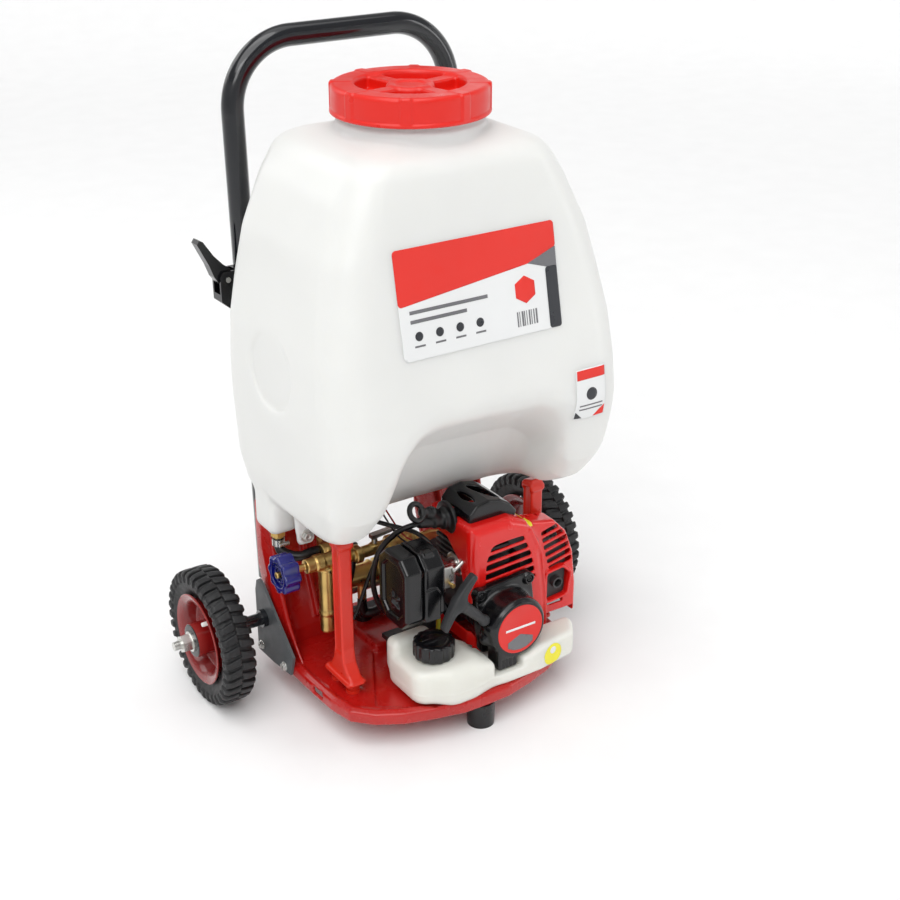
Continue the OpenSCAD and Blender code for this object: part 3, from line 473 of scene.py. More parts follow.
tyre = tyre_mesh()
for s, name in SIDE_NAMES:
    mesh = tyre.copy()
    mesh.transform(at_wheel(s))
    piece(f"tyre_{name}_treaded", mesh, f"wheel_{name}", "tyre", f"tyre_{name}")
    rim = turned(f"rim_{name}_spun", RIM_PROFILE, 128, at_wheel(s))
    piece(f"rim_{name}_spun", rim, f"wheel_{name}", "rim_paint", f"rim_{name}")
    for k, face in ((1, "outer"), (-1, "inner")):
        cover = turned(f"seal_{name}_{face}", [(r, k * h) for r, h in SEAL_PROFILE], 96, at_wheel(s))
        piece(f"seal_{name}_{face}", cover, f"wheel_{name}", "black_plastic",
              *([f"dust_caps_{name}"] if k == 1 else []))
    seat = Matrix.Rotation(math.radians(-35), 4, "Z") @ Matrix.Translation((0.0375, 0, 0.004))
    valve = turned(f"valve_{name}", VALVE_PROFILE, 24, at_wheel(s) @ seat)
    piece(f"valve_{name}", valve, f"wheel_{name}", "ceramic")

# ---------------------------------------------------------------- tank

TANK_STEP = 2.5
TANK_FOOT, TANK_SHOULDER = 225.0, 652.0
NECK_R, NECK_TOP = 74.0, 688.0
TAB = (-134.0, 212.0)
LEG_BOLT_Y = {side: -50 + 16 * side for side in SIDES}
# Height, half width, front, back, front corner radius and back corner radius
TANK_ROWS = np.array([
    (225, 122, -104, 70, 34, 20), (238, 148, -128, 86, 38, 24), (262, 168, -148, 94, 42, 26),
    (300, 176, -155, 96, 42, 26), (372, 180, -156, 96, 42, 26), (410, 180, -151, 96, 42, 26),
    (460, 177, -141, 96, 42, 26), (503, 169, -132, 96, 42, 26), (553, 157, -122, 96, 40, 26),
    (606, 134, -111, 95, 38, 24), (634, 117, -104, 93, 34, 22), (646, 104, -92, 84, 30, 20),
    (652, 84, -74, 68, 26, 18), (660, 60, -50, 46, 20, 16)], float)


def tank_field(s):
    z = s.z.ravel()
    rows = [np.interp(z, TANK_ROWS[:, 0], TANK_ROWS[:, k]) for k in range(1, 6)]
    window = max(3, int(14 / s.step)) | 1
    rows = [np.convolve(np.pad(v, window // 2, mode="edge"), np.ones(window) / window, "valid") for v in rows]
    half, front, back, r_front, r_back = (v[None, None, :].astype(np.float32) for v in rows)
    cy = (front + back) / 2
    r = np.where(s.y > cy, r_back, r_front)
    qx, qy = np.abs(s.x) - half + r, np.abs(s.y - cy) - (back - front) / 2 + r
    flat = np.minimum(np.maximum(qx, qy), 0) + np.sqrt(np.maximum(qx, 0) ** 2 + np.maximum(qy, 0) ** 2) - r
    body = shared(shared(flat, s.z - TANK_SHOULDER, 18), TANK_FOOT - s.z, 20)
    # arched bay over the engine
    depth = np.clip((s.y + 156) / 147, 0, 1)
    crown = 388 - 62 * depth / 0.57 * (depth < 0.57) - (62 + 104 * (depth - 0.57) / 0.43) * (depth >= 0.57)
    wide = 101 - 3 * depth + 0.17 * np.clip(330 - s.z, 0, 90)
    corner = 50 - 20 * depth
    bx, bz = np.abs(s.x) - wide - 5 * (s.x > 0) + corner, s.z - crown + 4 * np.clip(s.x / 80, 0, 1) + corner
    bay = np.minimum(np.maximum(bx, bz), 0) + np.sqrt(np.maximum(bx, 0) ** 2 + np.maximum(bz, 0) ** 2) - corner
    bay = np.maximum(bay, s.y + 4)
    body = cut(body, bay, 22)
    belly = [(-12, 186), (-18, 217), (-75, 234), (-108, 258), (-132, 289), (-147, 322), (-172, 362),
             (-220, 362), (-220, 190)]
    body = cut(body, outline(s.y, s.z, belly), 26)
    sump = block(s, (-165, 30, 207), (-130, 74, 262), 9)
    body = both(body, sump, 8)
    x, z = TAB
    tab = plate(s, "y", [(x - 7, z + 26), (x - 5, z - 6), (x + 5, z - 6), (x + 7, z + 26)], 8.2, 15, 1.5, 5)
    body = both(body, tab, 3)
    # round pad pressed into each side
    for side in SIDES:
        pad = np.sqrt((s.y + 14) ** 2 + ((s.z - 424) * 1.05) ** 2) - 43
        pad = np.maximum(pad, np.abs(s.x - side * 185) - 8.5)
        body = cut(body, pad, 4)
    collar = rod(s, "z", 0, CAP[1], NECK_R + 3, 600, 661, 2)
    body = both(body, both(collar, rod(s, "z", 0, CAP[1], NECK_R, 600, NECK_TOP, 1), 3), 7)
    body = cut(body, rod(s, "z", 0, CAP[1], NECK_R - 3.5, 596, 700), 1)
    return cut(body, rod(s, "z", OUTLET[0], OUTLET[1], 6.2, 190, 215))


space = Space((-182, -158, 200), (182, 100, 690), TANK_STEP)
tank = piece("tank_blown", skin("tank_blown", space, tank_field(space)), "cart", "tank_plastic", "tank")
tab_bolt = hex_bolt("tab_bolt", (TAB[0], 8.4, TAB[1]), (0, -1, 0), 9.0, 4.2, 7.6)
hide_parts("frame_bolts")
for s, name in SIDE_NAMES:
    for k in SIDES:
        hex_bolt(f"leg_bolt_{name}_{(k + 3) // 2}", (LEG[s][0], LEG_BOLT_Y[k], 41), (0, 0, -1), 10.0, 3.4)
        hex_bolt(f"bracket_bolt_{name}_{(k + 3) // 2}", (s * 158.4, 58 + 28 * k, 38), (s, 0, 0), 8.0, 2.6, 5.6)

# ---------------------------------------------------------------- tray, back panel and legs


def tray_points():
    """The tray's outline, from its right half."""
    right = [(0, -155), (30, -154), (64, -146), (98, -135), (126, -119), (146, -98), (152.5, -68),
             (154.5, -24), (155, 20), (155, 101)]
    return right + [(-x, y) for x, y in reversed(right[1:])]


def tray_mesh():
    s = Space((-156, -156, 28), (156, 102, 56), 1.6)
    flat = outline(s.x, s.y, tray_points())
    body = thick(flat, s.z, 30, 45, 3.2)
    lip = thick(np.abs(flat + 7.5) - 2.2, s.z, 40, 46.4, 1.4)
    body = both(body, np.maximum(lip, s.y - 88), 2.5)
    body = cut(body, thick(flat + 4, s.z, 20, 41), 1.5)
    deck = plate(s, "z", [(-56, -6), (112, -6), (112, 62), (-56, 62)], 40, 52, 3, 4)
    deck = cut(deck, plate(s, "z", [(-53, -3), (109, -3), (109, 59), (-53, 59)], 30, 49, 0, 1))
    body = both(body, deck, 4)
    sunk_edge = [(-60, -10), (114, -10), (126, -94), (86, -130), (0, -144), (-62, -139), (-112, -103)]
    body = both(body, shared(plate(s, "z", sunk_edge, 37.6, 44, 0.5, 5), flat + 3), 1)
    body = cut(body, shared(plate(s, "z", sunk_edge, 42.0, 60, 0.8, 3), -deck + 1), 0.8)
    for side in SIDES:
        for k in SIDES:
            hole = rod(s, "z", LEG[side][0], LEG_BOLT_Y[k], 3.6, 28, 60)
            boss = rod(s, "z", LEG[side][0], LEG_BOLT_Y[k], 11, 41, 45.2, 1)
            body = cut(both(cut(body, hole), boss, 2), hole)
        slot = plate(s, "x", [(-48, 36.5), (-30, 36.5), (-30, 41), (-48, 41)],
                     *sorted((side * 149.5, side * 170)), 1, 1.5)
        body = cut(body, slot, 1)
    return skin("tray", s, body)


def panel_mesh():
    s = Space((-147, 10, 40), (147, 103, 226), 1.8)
    profile = [(97, 224), (101, 224), (101, 164), (95, 144), (64, 62), (63, 42), (58, 42), (59, 62),
               (90, 146), (97, 166)]
    panel = plate(s, "x", profile, -145, 145, 1.2)
    window = plate(s, "y", [(-54, 66), (54, 66), (54, 182), (-54, 182)], 30, 120, 0, 8)
    panel = both(panel, np.maximum(np.abs(window) - 3, panel - 1.8), 1.5)
    wing_edge = [(101, 42), (101, 214), (84, 214), (78, 190), (70, 150), (60, 118), (44, 84), (27, 60),
                 (12, 44), (12, 42)]
    for side in SIDES:
        wing = plate(s, "x", wing_edge, *sorted((side * 145, side * 141)), 1.2)
        panel = both(panel, wing, 30)
        rib = np.maximum(np.abs(np.abs(s.x) - 96) - 2.5, np.maximum(panel - 2.5, np.abs(s.z - 142) - 70))
        panel = both(panel, rib, 4)
    panel = both(panel, block(s, (-118, 66, 219), (118, 98, 224), 1.6), 8)
    panel = cut(panel, window, 2)
    axle = np.sqrt((s.y - WHEEL[1][1]) ** 2 + (s.z - WHEEL[1][2]) ** 2) - 6.5
    return skin("panel", s, np.maximum(cut(panel, axle), s.y - 101))


piece("tray_moulded", tray_mesh(), "cart", "red_moulding", "base_frame")
piece("panel_moulded", panel_mesh(), "cart", "red_moulding")


def leg_mesh(x):
    s = Space((x - 13, -84, 56), (x + 13, -18, 239), 1.1)
    edge = [(-58.5, 237), (-41.5, 231), (-41, 96), (-38, 80), (-32, 69), (-22, 60.5), (-80, 60.5), (-70, 69),
            (-62, 80), (-59, 96)]
    column = plate(s, "x", edge, x - 8.2, x + 8.2, 2.4)
    foot = plate(s, "z", [(x - 9, -74), (x + 9, -74), (x + 9, -26), (x - 9, -26)], 57, 62, 1.5, 3)
    body = both(both(column, foot, 5), block(s, (x - 9.6, -60.5, 222), (x + 9.6, -40, 229), 2), 4)
    for side in SIDES:
        groove = plate(s, "x", [(-54.5, 226), (-45.5, 224), (-45, 92), (-55, 92)],
                       *sorted((x + side * 7.3, x + side * 20)), 0, 0.5)
        body = cut(body, groove, 1.5)
    sloped_top = s.z - (232.4 + (-41 - s.y) * 0.31)
    return skin("leg", s, np.maximum(body, sloped_top))


for s, name in SIDE_NAMES:
    piece(f"leg_{name}_moulded", leg_mesh(LEG[s][0]), "cart", "orange_moulding", f"leg_{name}")

# ---------------------------------------------------------------- cap

CAP_LOW = span("tank_cap")[0][2]


def cap_mesh():
    s = Space((-84, CAP[1] - 84, CAP_LOW), (84, CAP[1] + 84, CAP_TOP), 1.15)
    y = s.y - CAP[1]
    r = np.sqrt(s.x ** 2 + y ** 2)
    ring = thick(r - 81, s.z, CAP_LOW + 2, CAP_TOP - 0.4, 4.5)
    body = both(ring, thick(r - 82.6, s.z, CAP_LOW, CAP_LOW + 4, 1.2), 1.5)
    for k in range(8):
        b = math.radians(55 + 45 * k)
        along, off = s.x * math.cos(b) + y * math.sin(b), y * math.cos(b) - s.x * math.sin(b)
        strip = np.maximum(np.abs(off) - 5.5, 60 - along)
        body = both(body, shared(thick(r - 82.4, s.z, CAP_LOW + 3, CAP_TOP, 2.5), strip, 1.5), 1.2)
    body = cut(body, rod(s, "z", 0, CAP[1], 78.3, CAP_LOW - 4, CAP_TOP - 5.5))
    body = cut(body, rod(s, "z", 0, CAP[1], 56.5, CAP_TOP - 30, CAP_TOP + 9), 3)
    well = cut(thick(r - 59, s.z, CAP_TOP - 18, CAP_TOP - 3, 1),
               thick(r - 56, s.z, CAP_TOP - 15.5, CAP_TOP + 20), 2)
    body = both(body, well, 1)
    boss = cut(thick(r - 25, s.z, CAP_TOP - 17, CAP_TOP - 2.5, 4),
               thick(r - 15, s.z, CAP_TOP - 4, CAP_TOP + 8, 1), 2)
    spokes = None
    for k in range(4):
        b = math.radians(10 + 90 * k)
        along, off = s.x * math.cos(b) + y * math.sin(b), y * math.cos(b) - s.x * math.sin(b)
        spoke = np.maximum(np.abs(off) - 6.5 - 0.05 * along, np.maximum(18 - along, along - 57))
        spokes = spoke if spokes is None else np.minimum(spokes, spoke)
    body = both(both(body, boss, 3), thick(spokes, s.z, CAP_TOP - 17, CAP_TOP - 3.4, 2), 4)
    return skin("cap", s, np.maximum(body, s.z - CAP_TOP))


piece("cap_moulded", cap_mesh(), "tank_cap", "cap_plastic", "tank_cap")

# ---------------------------------------------------------------- engine covers

SHROUD_FRONT, SIDE_FRONT, COVER_BACK, SIDE_BACK = -103, -90, -18, -62
CRANK_X, CRANK_Z = STARTER[0], STARTER[2]


def on_crank(s, radius, a0, a1, r=0.0):
    """A disc or rod around the crankshaft's axis."""
    return rod(s, "y", CRANK_X, CRANK_Z, radius, a0, a1, r)


def slots(s, edge, pitch, gap, tilt, start):
    """Parallel slots inside an outline drawn in x and z."""
    phase = (s.z - tilt * s.x - start) / pitch
    apart = np.abs(phase - np.round(phase)) * pitch
    return shared(outline(s.x, s.z, edge) - 2, apart - gap / 2, 2.0)


def shroud_mesh():
    s = Space((6, -105, 64), (171, -16, 232), 1.1)
    main = [(17, 70), (17, 217), (66, 217), (84, 208), (103, 176), (113, 104), (114, 70)]
    side = [(104, 70), (104, 196), (132, 190), (148, 173), (158, 146), (163, 104), (163, 70)]
    lean = (outline(s.x, s.z, [(11, -60), (11, 223), (66, 223), (90, 214), (109, 178), (119, 104), (119, -60)])
            + SHROUD_FRONT - s.y) * 0.7 + 5
    body = shared(plate(s, "y", main, SHROUD_FRONT, COVER_BACK, 2, 6), lean, 3)
    body = both(body, plate(s, "y", side, SIDE_FRONT, SIDE_BACK, 5, 6), 8)
    hollow = body + 2.6
    ridge = outline(s.x, s.z, [(92, 202), (108, 168), (115, 112), (116, 70), (60, 70), (60, 202)])
    ridge = thick(np.abs(ridge) - 1.3, s.y, SHROUD_FRONT - 0.5, -90, 1)
    body = both(body, np.maximum(ridge, 90 - s.x), 4)
    body = cut(body, hollow, 1)
    body = cut(body, np.maximum(block(s, (10, -99, 40), (166, -12, 74)), 6 - s.x))
    body = cut(body, block(s, (14, COVER_BACK - 4, 60), (112, 0, 214)))
    body = cut(body, block(s, (106, SIDE_BACK - 4, 60), (160, 0, 188)))
    body = cut(body, on_crank(s, 37.4, -120, -90))
    left_opening = [(-93, 96), (-88, 128), (-72, 172), (-50, 190), (-12, 190), (-12, 96)]
    body = cut(body, plate(s, "x", left_opening, 0, 19, 0, 4), 3)
    body = cut(body, block(s, (22, -79, 200), (82, -28, 250), 4), 2)
    body = cut(body, rod(s, "x", CRANK_Y, 219, 11, 0, 30), 1)
    grille_edge = [(32, 143), (97, 141), (91, 170), (80, 195), (50, 199), (40, 192), (34, 178)]
    grille = slots(s, grille_edge, 11.2, 6.7, 0.05, 146)
    body = cut(body, np.maximum(grille, s.y + 90), 1.6)
    body = both(body, rod(s, "y", 63, 147, 6.5, SHROUD_FRONT, -96, 1), 2)
    louvre_edge = [(118, 184), (136, 189), (152, 170), (160, 136), (132, 130), (124, 158)]
    louvre = slots(s, louvre_edge, 10.4, 6.2, 0.2, 108)
    body = cut(body, np.maximum(louvre, s.y + 70), 1)
    mouth = plate(s, "y", [(128, 96), (150, 98), (154, 120), (146, 128), (128, 126)], -120, -60, 0, 4)
    collar = thick(np.abs(mouth - 1) - 1.6, s.y, -93.5, -80, 1)
    body = cut(both(body, collar, 2.5), np.maximum(mouth + 1, s.y + 70), 1)
    body = cut(body, block(s, (128, -96, 84), (150, -80, 89), 1.5))
    for k in range(1, 6):
        x, z = 90 + 9.5 * k, 214 - 6.6 * k
        gap = plate(s, "y", [(x - 7, z + 10), (x + 7, z + 2), (x + 3, z - 14), (x - 11, z - 6)], -72, -34, 1.2)
        gap = shared(gap, np.abs((s.x - x) * 0.6 + (s.z - z) * 0.8) - 30)
        body = cut(body, shared(gap, np.abs((s.x - x) * 0.57 - (s.z - z) * 0.82) - 2.1, 0.5), 0.8)
    return skin("shroud", s, body)


shroud = piece("shroud_moulded", shroud_mesh(), "cart", "shroud_plastic", "engine_shroud")


def hood_mesh():
    """Black hood over the plug, with a slanted oval opening on each side of its ridge."""
    s = Space((16, -88, 212), (94, -22, 248), 0.9)
    arch = [(21, 219), (22, 231), (30, 240), (46, 242.5), (62, 239), (74, 231), (82, 221), (80, 216), (73, 217)]
    body = plate(s, "y", arch, -86, -26, 3.2, 2)
    inside = [(22, 200), (24, 230), (31, 237), (46, 239.5), (61, 236), (72, 229), (78, 219), (76, 200)]
    body = cut(body, plate(s, "y", inside, -83, -29, 1), 1)
    slant = (s.x - 56) + 0.35 * (s.y + 56)
    hole = np.sqrt((slant / 8.5) ** 2 + ((s.y + 56) / 19) ** 2) - 1
    body = cut(body, np.maximum(hole * 7, 225 - s.z), 2)
    hole = np.sqrt(((s.x - 33) / 4.5) ** 2 + ((s.y + 58) / 16) ** 2) - 1
    body = cut(body, np.maximum(hole * 4, 232 - s.z), 1.5)
    return skin("hood", s, cut(body, rod(s, "x", CRANK_Y, 219, 10.5, 0, 32), 1))


piece("hood_moulded", hood_mesh(), "cart", "black_plastic", "top_cover")


def boot_mesh():
    s = Space((-46, -70, 206), (60, -34, 262), 0.8)
    y, z = CRANK_Y, 219
    body = both(rod(s, "x", y, z, 8, -8, CRANK_X, 1), rod(s, "z", CRANK_X, CRANK_Y, 9, 209, 224, 2), 4)
    body = joined(
        body,
        (rod(s, "x", y, z, 19.5, 9, 14, 1.8), 4),
        (rod(s, "x", y, z, 12, 2, 9, 2), 4),
        (capsule(s, (0, y, z + 2), (-10, y - 1, z + 12), 8.6, 7.4), 3),
        (capsule(s, (-10, y - 1, z + 12), (-22, y - 2, z + 16), 5.5, 5), 4))
    cx, cy, cz = -31, y - 4, z + 20
    n = Vector((0.25, -0.80, 0.54)).normalized()
    h = (s.x - cx) * n.x + (s.y - cy) * n.y + (s.z - cz) * n.z
    flat = np.sqrt(np.maximum((s.x - cx) ** 2 + (s.y - cy) ** 2 + (s.z - cz) ** 2 - h ** 2, 0))
    body = both(body, np.sqrt((flat - 9.6) ** 2 + h ** 2) - 3.1, 3)
    body = both(body, capsule(s, (-8, y, z), (-24, y, 222), 6.5, 6), 3)
    return skin("boot", s, cut(body, rod(s, "z", CRANK_X, CRANK_Y, 5, 200, 216)))


piece("boot_moulded", boot_mesh(), "cart", "rubber", "plug_boot")

# ---------------------------------------------------------------- starter


STARTER_SCREWS = ((16, 146), (82, 148), (88, 80))


def starter_mesh():
    s = Space((0, -150, 60), (96, -102, 158), 0.9)
    dome = on_crank(s, 36, -146.6, -106, 6)
    dome = both(dome, on_crank(s, 33, -147, -110, 1.2), 1)
    base = plate(s, "y", [(17, 144), (80, 149), (88, 82), (60, 70), (24, 76)], -113, -103.4, 2.5, 7)
    body = both(dome, base, 9)
    body = joined(
        body,
        (capsule(s, (36, -126, 98), (19, -134, 116), 11, 9.5), 7),
        (capsule(s, (30, -126, 92), (12, -130, 100), 9, 7), 6),
        (block(s, (19, -146, 62), (46, -122, 92), 4), 5))
    for x, z in STARTER_SCREWS:
        body = both(body, rod(s, "y", x, z, 7, -116, -104, 2), 3)
        body = cut(body, rod(s, "y", x, z, 4.2, -120, -113.5), 0.5)
    guide = capsule(s, (40, -134, 95), (8, -134, 127), 3.2)
    body = cut(cut(body, on_crank(s, 32.5, -143, -100)), guide, 0.8)
    for k in range(4):
        body = cut(body, block(s, (24 + 5 * k, -150, 64), (26.4 + 5 * k, -144.8, 76), 0.4))
    return skin("starter", s, np.maximum(body, -s.y - 147))


piece("starter_moulded", starter_mesh(), "cart", "black_plastic", "starter_housing")


for k, (x, z) in enumerate(STARTER_SCREWS):
    screw(f"starter_screw_{k}", (x, -113.6, z), (0, -1, 0), 3.8, 2.4, "black_plastic")
screw("shroud_screw", (63, -103, 147), (0, -1, 0), 3.6, 2.6, "black_plastic")

PULL_FOOT = Vector((18, -134, 117))
PULL = Matrix.Translation(PULL_FOOT * MM) @ Matrix.Rotation(-math.pi / 4, 4, "Y")


def grip_mesh():
    """T grip, in its own frame: z runs out along the rope and x along the grip."""
    s = Space((-40, -9, 10), (40, 9, 76), 0.8)
    wide = 5.6 - 2.0 * (s.x / 34) ** 2
    bow = 64 + 0.18 * s.x - 0.0022 * s.x ** 2 + 1.5
    bar = (((s.z - bow) / wide) ** 4 + (s.y / 5.6) ** 4) ** 0.25 - 1
    bar = shared(bar * 4.5, np.abs(s.x) - 35, 3)
    neck = capsule(s, (0, 0, 17), (0, 0, 60), 5.2, 7)
    body = both(bar, neck, 9)
    body = both(body, rod(s, "z", 0, 0, 6.4, 12.5, 19, 1.5), 2)
    mesh = skin("grip", s, cut(body, rod(s, "z", 0, 0, 2.2, 0, 30)))
    mesh.transform(PULL)
    return mesh


piece("grip_moulded", grip_mesh(), "pull_handle", "grip_plastic", "pull_handle")

rope_in, rope_out = PULL @ Vector((0, 0, -0.024)), PULL @ Vector((0, 0, 0.036))
strand = hose("rope_braided", [tuple(rope_in.lerp(rope_out, t) / MM) for t in (0, 0.5, 1)], 1.8, 24, 16)
rope = in_scene("rope_braided", strand)
strand.materials.append(FINISHES["cord"])
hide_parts("pull_rope")
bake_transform(rope)

# ---------------------------------------------------------------- air filter and fuel


def octagon(y, z, half_y, half_z, c):
    return [(y - half_y, z - half_z + c), (y - half_y + c, z - half_z), (y + half_y - c, z - half_z),
            (y + half_y, z - half_z + c), (y + half_y, z + half_z - c), (y + half_y - c, z + half_z),
            (y - half_y + c, z + half_z), (y - half_y, z + half_z - c)]


FILTER_Y, FILTER_Z = (middle("filter_cover")[k] for k in (1, 2))


def filter_cover_mesh():
    s = Space((-81, -115, 125), (-56, -51, 215), 0.9)
    box = octagon(FILTER_Y, FILTER_Z, 26, 40, 12)
    body = plate(s, "x", box, -80, -57.5, 4.5, 4)
    body = cut(body, plate(s, "x", box, -76, -50, 1, 1), 1)
    body = cut(body, plate(s, "x", octagon(FILTER_Y, FILTER_Z, 19, 31, 9), -90, -76.4, 0, 1), 2.5)
    body = both(body, plate(s, "x", octagon(FILTER_Y, FILTER_Z, 22, 34, 10), -77, -75, 0.4, 1), 1.5)
    for k in range(5):
        b = math.radians(72 * k)
        tip = (-77.4, FILTER_Y + 10 * math.cos(b), 156 + 10 * math.sin(b))
        body = both(body, capsule(s, (-78, FILTER_Y, 156), tip, 3.0, 1.8), 2)
    body = both(body, rod(s, "x", FILTER_Y, 156, 5, -80, -74, 1.5), 2)
    return skin("filter_cover", s, body)


def filter_base_mesh():
    s = Space((-58, -117, 125), (-22, -48, 217), 0.9)
    body = plate(s, "x", octagon(FILTER_Y, FILTER_Z, 26, 40, 12), -57, -30, 3, 4)
    body = both(body, plate(s, "x", octagon(FILTER_Y, FILTER_Z, 26.6, 40.6, 12), -57, -53.5, 0.8, 4), 1)
    body = cut(body, plate(s, "x", octagon(FILTER_Y, FILTER_Z, 25, 39, 12), -62, -33, 1, 1), 1)
    body = both(body, block(s, (-50, -104, 209), (-40, -94, 215.5), 1.5), 2)
    body = both(body, rod(s, "x", -66, 165, 12, -31, -27.4, 1), 1)
    lug = plate(s, "y", [(-55, 137), (-39, 137), (-39, 168), (-43, 174), (-55, 174)], -115.5, -104, 1.5, 1.5)
    body = both(body, lug, 1.5)
    body = both(body, rod(s, "x", -96, 146, 2.5, -31, -24.6, 0.5))
    return skin("filter_base", s, cut(body, rod(s, "x", -66, 165, 7, -50, -20)))


INTAKE_Y = -66.0


def carburettor_mesh():
    s = Space((-28, -90, 136), (18, -48, 190), 0.7)
    body = block(s, (-26, -82, 149), (3, -51, 177), 3)
    body = joined(
        body,
        (plate(s, "y", octagon(-11.5, 163, 13, 13, 4), -85, -81, 0.8, 0.5), 0.8),
        (rod(s, "x", INTAKE_Y, 165, 9, 0, 15.4, 0.5), 2),
        (plate(s, "x", octagon(INTAKE_Y, 165, 14, 12, 5), 12, 15.4, 0.6), 1),
        (rod(s, "z", -12, -68, 10, 139, 151, 2), 1.5),
        (rod(s, "z", -12, -68, 3.6, 137.7, 142, 0.5), 1),
        (rod(s, "z", -14, -66, 7, 174, 183, 1), 1.5),
        (rod(s, "z", -14, -66, 5, 182, 186.4, 0.6), 0.5),
        (rod(s, "y", -20, 153, 3, -89, -78, 0.6), 1),
        (capsule(s, (-2, -86, 170), (10, -86, 178), 2.2), 1))
    for x in SIDES:
        for z in SIDES:
            body = both(body, rod(s, "y", -11.5 + 9.5 * x, 163 + 9.5 * z, 2.4, -87, -80, 0.5), 0.5)
    return skin("carburettor", s, cut(body, rod(s, "x", INTAKE_Y, 165, 5, -30, 16)))


piece("carburettor_cast", carburettor_mesh(), "cart", "cast_metal", "carburettor", material=FINISHES["zinc"])
idle_profile = [(0.1, 0), (1.6, 0), (1.6, 6), (2.8, 6.5), (2.8, 10), (2.4, 10.6), (0.1, 10.6)]
idle_screw = turned("idle_screw", idle_profile, 24,
                    Matrix.Translation((-0.006, -0.082, 0.155)) @ Matrix.Rotation(math.pi / 2, 4, "X"))
piece("idle_screw", idle_screw, "cart", "brass")
piece("filter_cover_moulded", filter_cover_mesh(), "cart", "black_plastic", "filter_cover")
piece("filter_base_moulded", filter_base_mesh(), "cart", "black_plastic", "filter_base")


def fuel_tank_mesh():
    s = Space((-86, -155, 45), (145, -60, 101), 1.5)
    left = plate(s, "z", [(-62, -122), (-62, -84), (-28, -82), (-24, -129), (-42, -131)], 46, 88, 9, 20)
    left = both(left, block(s, (-80, -86, 60), (-26, -63, 102), 9), 5)
    front_edge = [(-30, -133), (30, -138), (74, -137), (118, -130), (126, -118), (110, -106), (-30, -106)]
    front = plate(s, "z", front_edge, 46, 79, 6, 14)
    low = plate(s, "z", [(-20, -128), (112, -120), (98, -90), (-10, -84)], 46, 62.5, 5, 16)
    body = both(both(left, front, 26), low, 8)
    body = cut(body, on_crank(s, 38.5, -180, -60), 5)
    body = cut(body, np.maximum(block(s, (12, -170, 60), (50, -110, 110), 4), 61 - s.z), 4)
    body = cut(body, np.maximum(np.maximum(block(s, (5, -112.5, 40), (180, -40, 110)), 62.5 - s.z), 5 - s.x), 2)
    body = cut(body, rod(s, "z", 0, -135, 10, 40, 52), 2)
    seam = np.abs(s.z - 60) - 0.6
    body = joined(
        body,
        (shared(seam, body - 0.5), 0.8),
        (rod(s, "z", -14, -72, 4.2, 60, 86, 1), 2),
        (rod(s, "z", FUEL_CAP[0], FUEL_CAP[1], 17, 80, 99.6, 1), 3))
    body = shared(body, -155.4 - s.y, 1)
    return skin("fuel_tank", s, cut(body, rod(s, "z", FUEL_CAP[0], FUEL_CAP[1], 14, 84, 110)))


def fuel_cap_mesh():
    low, high = span("fuel_cap")[0][2], span("fuel_cap")[1][2]
    s = Space((-25, -25, low), (25, 25, high), 0.7)
    r, a = np.sqrt(s.x ** 2 + s.y ** 2), np.arctan2(s.y, s.x)
    ribs = 23.0 + 0.9 * np.clip(np.cos(a * 14) * 2.2, -1, 1)
    body = shared(thick(r - ribs, s.z, low, high - 1.5, 2.2), thick(r - 24, s.z, low, high, 5), 1.5)
    dish = thick(r - 15, s.z, high - 3, high + 9, 1.5)
    bar = np.maximum(np.abs(s.y) - 3.4, np.abs(s.x) - 18)
    body = cut(body, cut(dish, thick(bar, s.z, high - 9, high + 9, 1), 1.5), 1.5)
    mesh = skin("fuel_cap", s, cut(body, thick(r - 17.5, s.z, low - 5, high - 4.5)))
    mesh.transform(Matrix.Translation((FUEL_CAP[0] * MM, FUEL_CAP[1] * MM, 0)))
    return mesh


fuel_tank = piece("fuel_tank_blown", fuel_tank_mesh(), "cart", "fuel_plastic", "fuel_tank")
piece("fuel_cap_moulded", fuel_cap_mesh(), "fuel_cap", "black_plastic", "fuel_cap")

# ---------------------------------------------------------------- pump, knob and hoses


CASE_BOLTS = [(CRANK_X + 30 * math.cos(b), CRANK_Z + 30 * math.sin(b))
              for b in (math.radians(60 * k + 15) for k in range(6))]


